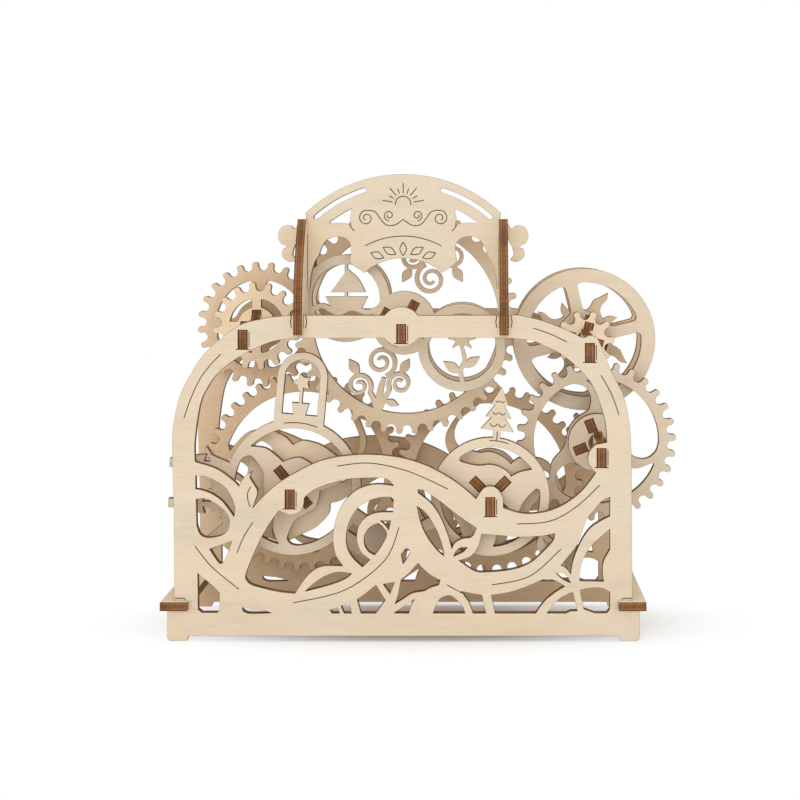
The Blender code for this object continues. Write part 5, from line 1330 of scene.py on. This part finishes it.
def ship_scene(reach):
    """A ship with two masts and square sails. The masts stay clear of the feet's outer line."""
    shapes = [[(-13.0, 7.0), (13.6, 8.0), (10.0, -1.2), (-9.6, -1.2)], stroke([(10.0, 6.6), (17.0, 10.6)], 2.2, 1.2)]
    top = reach - 5.0
    for x in (-9.3, 9.3):
        shapes.append(rectangle(2.4, top - 8.0, (x, (top + 6.0) / 2)))
        shapes.append(rectangle(4.2, 4.6, (x, top - 2.3)))
        shapes.append([(x - 4.4, 10.0), (x, 11.6), (x + 4.4, 10.0), (x + 3.4, 20.0), (x - 3.4, 20.0)])
    return [[shape] for shape in shapes]


def lighthouse_scene(reach):
    """A lighthouse on a rock."""
    rock = smooth([(-10.4, -1.6), (-9.0, 4.0), (-4.0, 7.2), (3.0, 6.4), (8.4, 3.6), (10.4, -1.6)])
    tower = straight(4.2, 2.6, 5.0, reach - 8.6)
    gallery = rectangle(8.4, 1.6, (0.0, reach - 8.4))
    lamp = straight(2.2, 2.2, reach - 8.0, reach - 3.6)
    roof = [(-3.6, reach - 4.0), (3.6, reach - 4.0), (0.0, reach)]
    return [[rock], [tower], [gallery], [lamp], [roof]]


def cottage_scene(reach):
    """A cottage with a chimney."""
    wall, door = straight(8.6, 8.6, -2.0, reach * 0.52), straight(2.0, 2.0, 2.0, 8.0)
    roof = [(-11.0, reach * 0.5), (11.0, reach * 0.5), (0.0, reach)]
    chimney = [(4.4, reach * 0.6), (7.4, reach * 0.6), (7.4, reach * 0.92), (4.4, reach * 0.92)]
    return [[wall, door], [roof], [chimney]]


def pine_scene(reach):
    """A pine tree in three tiers."""
    shapes = [[rectangle(3.4, 8.0, (0.0, 2.0))]]
    for i in range(3):
        half, foot = 7.6 - 1.7 * i, 4.4 + i * reach * 0.24
        shapes.append([[(-half, foot), (half, foot), (0.0, reach - (2 - i) * 5.0)]])
    return shapes


def pine_boughs():
    """Small scalloped lines on the pine's tiers and a split up its trunk."""
    lines = [[(0.0, -0.6), (0.3, 1.8), (0.0, 4.0)]]
    for i in range(3):
        half = 3.9 - 0.8 * i
        lines += [arc(half / 2 - 0.3, 190.0, 350.0, 8, (side * half / 2, 7.8 + 5.2 * i)) for side in (-1, 1)]
    return [[line] for line in lines]


def toadstool_scene(reach):
    """A toadstool."""
    stem = straight(3.0, 2.2, -1.6, reach - 8.0)
    cap = arc(8.0, 0.0, 180.0, 30, (0.0, reach - 9.4)) + [(-5.0, reach - 11.4), (5.0, reach - 11.4)]
    return [[stem], [cap]]


def tulip_scene(reach):
    """A tulip with two leaves."""
    stem = rectangle(2.4, reach - 7.0, (0.0, (reach - 9.0) / 2))
    bloom = smooth([(0.0, reach - 10.0), (4.8, reach - 8.4), (5.2, reach)])
    bloom += [(2.4, reach - 3.6), (0.0, reach - 0.4), (-2.4, reach - 3.6)]
    bloom += smooth([(-5.2, reach), (-4.8, reach - 8.4), (0.0, reach - 10.0)])[:-1]
    side_leaf = leaf((0.4, 2.0), (8.0, 9.6), 0.2)
    return [[stem], [bloom], [side_leaf], [mirrored(side_leaf)]]


def make_scene_wheel(sizes, wheel, ring, reach, scenes, window, surf, holes, lines, gear_window, gear_grain):
    """A ring on wave shaped spokes that carries little scenes, a wave shaped plate behind it and a gear."""
    shapes = [[circle(ring, 2 * ROUND)] + wave_windows(*window)]
    for turn, scene in scenes:
        shapes += placed(scene(reach - ring + SCENE_LAP), ring - SCENE_LAP, turn)
    wheel_plate(sizes, wheel, wheel + "_scene_wheel", shapes, "front", 0.0, SPACERS, lines)
    surf_edge = linked([turned(smooth(polar_line(surf)), -120.0 * i) for i in range(3)])
    wheel_plate(sizes, wheel, wheel + "_wave_plate", [[surf_edge] + thirds(holes)], "middle", 25.0)
    gear = toothed(wheel + "_gear", *wave_windows(*gear_window))
    wheel_plate(sizes, wheel, wheel + "_gear", [gear], "rear", gear_grain)
    make_spacers(sizes, wheel)


def make_left_wheel(sizes):
    scenes = ((85.0, arch_window_scene), (178.0, ship_scene), (214.0, lighthouse_scene), (325.0, cottage_scene))
    make_scene_wheel(sizes, "left", LEFT_RING, LEFT_REACH, scenes, LEFT_SCENE_WINDOW, LEFT_SURF,
                     [smooth_loop(polar_line(LEFT_SURF_HOLE))], [arc(29.8, 68.0, 98.0, BEND)],
                     LEFT_GEAR_WINDOW, 50.0)


def make_right_wheel(sizes):
    scenes = ((84.0, pine_scene), (204.0, toadstool_scene), (324.0, tulip_scene))
    boughs = [rings[0] for rings in placed(pine_boughs(), RIGHT_RING - SCENE_LAP, scenes[0][0])]
    make_scene_wheel(sizes, "right", RIGHT_RING, RIGHT_REACH, scenes, RIGHT_SCENE_WINDOW, RIGHT_SURF,
                     [], [arc(25.8, 71.0, 91.0, 16)] + boughs, RIGHT_GEAR_WINDOW, -35.0)


def axle_edge(wheel):
    """Side view of an axle, x along the depth: tenon, shoulder, bar and the stop before its wheel."""
    first = min(LAYERS[wheel].values())
    half = BAR_HEIGHT / 2
    end = PANEL_SPACING + PLATE
    low = [(0.0, TENON_TOP), (0.0, TENON_BOTTOM), (PLATE + SHOULDER_DEPTH, TENON_BOTTOM),
           (PLATE + SHOULDER_DEPTH, -half)]
    high = [(PLATE + FIT, half), (PLATE + FIT, TENON_TOP)]
    if first > 0:
        face = layer(first) - 2 * FIT
        low += [(face - STOP_DEPTH, -half), (face - STOP_DEPTH, -STOP_HALF), (face, -STOP_HALF), (face, -half)]
        high = [(face, half), (face, STOP_HALF), (face - STOP_DEPTH, STOP_HALF), (face - STOP_DEPTH, half)] + high
    inside = PANEL_SPACING - SHOULDER_DEPTH
    tenon = [(inside, -half), (inside, TENON_TOP - BAR_HEIGHT), (end, TENON_TOP - BAR_HEIGHT), (end, TENON_TOP),
             (PANEL_SPACING - FIT, TENON_TOP), (PANEL_SPACING - FIT, half)]
    return low + tenon + high


def make_axles(sizes):
    for wheel, (x, z) in AXIS.items():
        upright_board(sizes, wheel + "_axle", axle_edge(wheel), 0.0, x, z)


# Stage, in metres

FLOOR_WIDTH = 6.0
FLOOR_DEPTH = 9.0
FLOOR_MIDDLE = 1.5
FLOOR_DROP = 0.0002          # keeps the floor just under the feet
FLOOR_COLOUR = (0.94, 0.94, 0.94, 1.0)
SHADOW_OVAL = (0.9, 2.4, 1.0)    # how the floor is stretched before the shadow's reach is measured
SHADOW_NEAR = 0.05
SHADOW_FAR = 0.15
ROOM_COLOUR = (1.0, 0.965, 0.91, 1.0)
ROOM_STRENGTH = 0.7
CAMERA_PLACE = (0.0339, -0.689, 0.1845)
LAMP_AIM = Vector((0.0, 0.0, 0.1))
LAMPS = [                    # name, place, size and power in watts
    ("Key lamp", (-0.55, -1.5, 0.8), 1.5, 7.6),
    ("Fill lamp", (0.8, -1.3, 0.45), 1.4, 3.6),
    ("Top lamp", (0.0, 0.0, 1.5), 1.2, 4.5),
]


def background_rays(tree):
    """1 for the rays that look at the picture's background, 0 for those that light the object."""
    rays = add_node(tree, "ShaderNodeLightPath").outputs
    seen = rays["Is Camera Ray"]
    for label in ("Is Glossy Ray", "Is Transmission Ray"):
        seen = add_node(tree, "ShaderNodeMath", {0: seen, 1: rays[label]}, operation="MAXIMUM")
    return seen


def pale_floor():
    """A pale matt floor that keeps the shadow near the model and turns plain white further out."""
    material, tree, shader = new_material("Pale floor")
    feed(tree, shader, {"Base Color": FLOOR_COLOUR, "Roughness": 0.9})
    place = add_node(tree, "ShaderNodeTexCoord").outputs["Object"]
    oval = add_node(tree, "ShaderNodeMapping", {"Vector": place, "Scale": SHADOW_OVAL})
    reach = add_node(tree, "ShaderNodeVectorMath", {0: oval}, operation="LENGTH").outputs["Value"]
    far = add_node(tree, "ShaderNodeMapRange", {
        "Value": reach, "From Min": SHADOW_NEAR, "From Max": SHADOW_FAR}, interpolation_type="SMOOTHSTEP")
    share = add_node(tree, "ShaderNodeMath", {0: far, 1: background_rays(tree)}, operation="MULTIPLY")
    white = add_node(tree, "ShaderNodeEmission", {"Color": (*WHITE, 1.0), "Strength": 1.0})
    choice = add_node(tree, "ShaderNodeMixShader", {"Fac": share, 1: shader, 2: white})
    feed(tree, tree.nodes["Material Output"], {"Surface": choice})
    return material


def make_floor():
    mesh = bpy.data.meshes.new("Floor")
    mesh.from_pydata([(x, y, 0.0) for x, y in rectangle(FLOOR_WIDTH, FLOOR_DEPTH, (0.0, FLOOR_MIDDLE))], [],
                     [(0, 1, 2, 3)])
    mesh.materials.append(pale_floor())
    floor = new_object("Floor", mesh)
    floor.location.z = -FLOOR_DROP


def make_world():
    world = bpy.data.worlds.new("Studio")
    bpy.context.scene.world = world
    world.use_nodes = True
    tree = world.node_tree
    tree.nodes.clear()
    light = add_node(tree, "ShaderNodeBackground", {"Color": ROOM_COLOUR, "Strength": ROOM_STRENGTH})
    white = add_node(tree, "ShaderNodeBackground", {"Color": (*WHITE, 1.0), "Strength": 1.0})
    choice = add_node(tree, "ShaderNodeMixShader", {"Fac": background_rays(tree), 1: light, 2: white})
    add_node(tree, "ShaderNodeOutputWorld", {"Surface": choice})


def make_lamps():
    for name, place, size, power in LAMPS:
        data = bpy.data.lights.new(name, "AREA")
        data.shape = "SQUARE"
        data.size = size
        data.energy = power
        lamp = new_object(name, data)
        lamp.location = place
        lamp.rotation_euler = (LAMP_AIM - Vector(place)).to_track_quat("-Z", "Y").to_euler()


def make_camera():
    data = bpy.data.cameras.new("Camera")
    data.lens = 68.2
    data.sensor_width = 36.0
    data.shift_x = -0.0975
    data.shift_y = -0.206
    data.clip_start = 0.01
    camera = new_object("Camera", data)
    camera.location = Vector(CAMERA_PLACE) + SHIFT
    camera.rotation_euler = (math.radians(90.0), 0.0, 0.0)
    bpy.context.scene.camera = camera


# Operators, panel and registration

class THEATER_OT_panels(bpy.types.Operator):
    """Make the front and back panels with their fretwork and engraved lines"""
    bl_idname = "theater.panels"
    bl_label = "Panels"

    def execute(self, context):
        make_panels(context.scene.theater_sizes)
        return {"FINISHED"}


class THEATER_OT_cross_bars(bpy.types.Operator):
    """Make the two cross bars above the feet"""
    bl_idname = "theater.cross_bars"
    bl_label = "Cross bars"

    def execute(self, context):
        make_cross_bars(context.scene.theater_sizes)
        return {"FINISHED"}


class THEATER_OT_wings(bpy.types.Operator):
    """Make the two wings that carry the header"""
    bl_idname = "theater.wings"
    bl_label = "Wings"

    def execute(self, context):
        make_wings(context.scene.theater_sizes)
        return {"FINISHED"}


class THEATER_OT_header(bpy.types.Operator):
    """Make the header board with its ornament"""
    bl_idname = "theater.header"
    bl_label = "Header board"

    def execute(self, context):
        make_header(context.scene.theater_sizes)
        return {"FINISHED"}


class THEATER_OT_axles(bpy.types.Operator):
    """Make the six axles"""
    bl_idname = "theater.axles"
    bl_label = "Axles"

    def execute(self, context):
        make_axles(context.scene.theater_sizes)
        return {"FINISHED"}


class THEATER_OT_corner_wheel(bpy.types.Operator):
    """Make the corner wheel, which drives the ring gear"""
    bl_idname = "theater.corner_wheel"
    bl_label = "Corner wheel"

    def execute(self, context):
        make_corner_wheel(context.scene.theater_sizes)
        return {"FINISHED"}


class THEATER_OT_centre_wheel(bpy.types.Operator):
    """Make the ring gear with its scroll trees and medallions"""
    bl_idname = "theater.centre_wheel"
    bl_label = "Centre wheel"

    def execute(self, context):
        make_centre_wheel(context.scene.theater_sizes)
        return {"FINISHED"}


class THEATER_OT_hand_wheel(bpy.types.Operator):
    """Make the hand wheel with its sun plate and pinion"""
    bl_idname = "theater.hand_wheel"
    bl_label = "Hand wheel"

    def execute(self, context):
        make_hand_wheel(context.scene.theater_sizes)
        return {"FINISHED"}


class THEATER_OT_side_wheel(bpy.types.Operator):
    """Make the side gear and its pinion"""
    bl_idname = "theater.side_wheel"
    bl_label = "Side wheel"

    def execute(self, context):
        make_side_wheel(context.scene.theater_sizes)
        return {"FINISHED"}


class THEATER_OT_left_wheel(bpy.types.Operator):
    """Make the left scene wheel and its gear"""
    bl_idname = "theater.left_wheel"
    bl_label = "Left scene wheel"

    def execute(self, context):
        make_left_wheel(context.scene.theater_sizes)
        return {"FINISHED"}


class THEATER_OT_right_wheel(bpy.types.Operator):
    """Make the right scene wheel and its gear"""
    bl_idname = "theater.right_wheel"
    bl_label = "Right scene wheel"

    def execute(self, context):
        make_right_wheel(context.scene.theater_sizes)
        return {"FINISHED"}


class THEATER_OT_stage(bpy.types.Operator):
    """Make the floor, the lamps, the background and the camera"""
    bl_idname = "theater.stage"
    bl_label = "Stage"

    def execute(self, context):
        context.scene.view_settings.view_transform = "Standard"
        make_floor()
        make_world()
        make_lamps()
        make_camera()
        return {"FINISHED"}


STEPS_IN_ORDER = (
    THEATER_OT_panels, THEATER_OT_cross_bars, THEATER_OT_wings, THEATER_OT_header, THEATER_OT_axles,
    THEATER_OT_corner_wheel, THEATER_OT_centre_wheel, THEATER_OT_hand_wheel, THEATER_OT_side_wheel,
    THEATER_OT_left_wheel, THEATER_OT_right_wheel, THEATER_OT_stage,
)


class THEATER_PT_sidebar(bpy.types.Panel):
    """Lists the sizes, the colours and the steps that make the model"""
    bl_label = "Theater model"
    bl_idname = "THEATER_PT_sidebar"
    bl_space_type = "VIEW_3D"
    bl_region_type = "UI"
    bl_category = "Theater model"

    def draw(self, context):
        column = self.layout.column()
        for group in (context.scene.theater_sizes, context.scene.theater_colours):
            for name in group.__annotations__:
                column.prop(group, name)
        for step in STEPS_IN_ORDER:
            column.operator(step.bl_idname)


CLASSES = (TheaterSizes, TheaterColours, *STEPS_IN_ORDER, THEATER_PT_sidebar)


def register():
    for item in CLASSES:
        bpy.utils.register_class(item)
    bpy.types.Scene.theater_sizes = bpy.props.PointerProperty(type=TheaterSizes)
    bpy.types.Scene.theater_colours = bpy.props.PointerProperty(type=TheaterColours)


def unregister():
    del bpy.types.Scene.theater_colours
    del bpy.types.Scene.theater_sizes
    for item in reversed(CLASSES):
        bpy.utils.unregister_class(item)


def main():
    register()
    for step in STEPS_IN_ORDER:
        group, name = step.bl_idname.split(".")
        getattr(getattr(bpy.ops, group), name)()


if __name__ == "__main__":
    main()
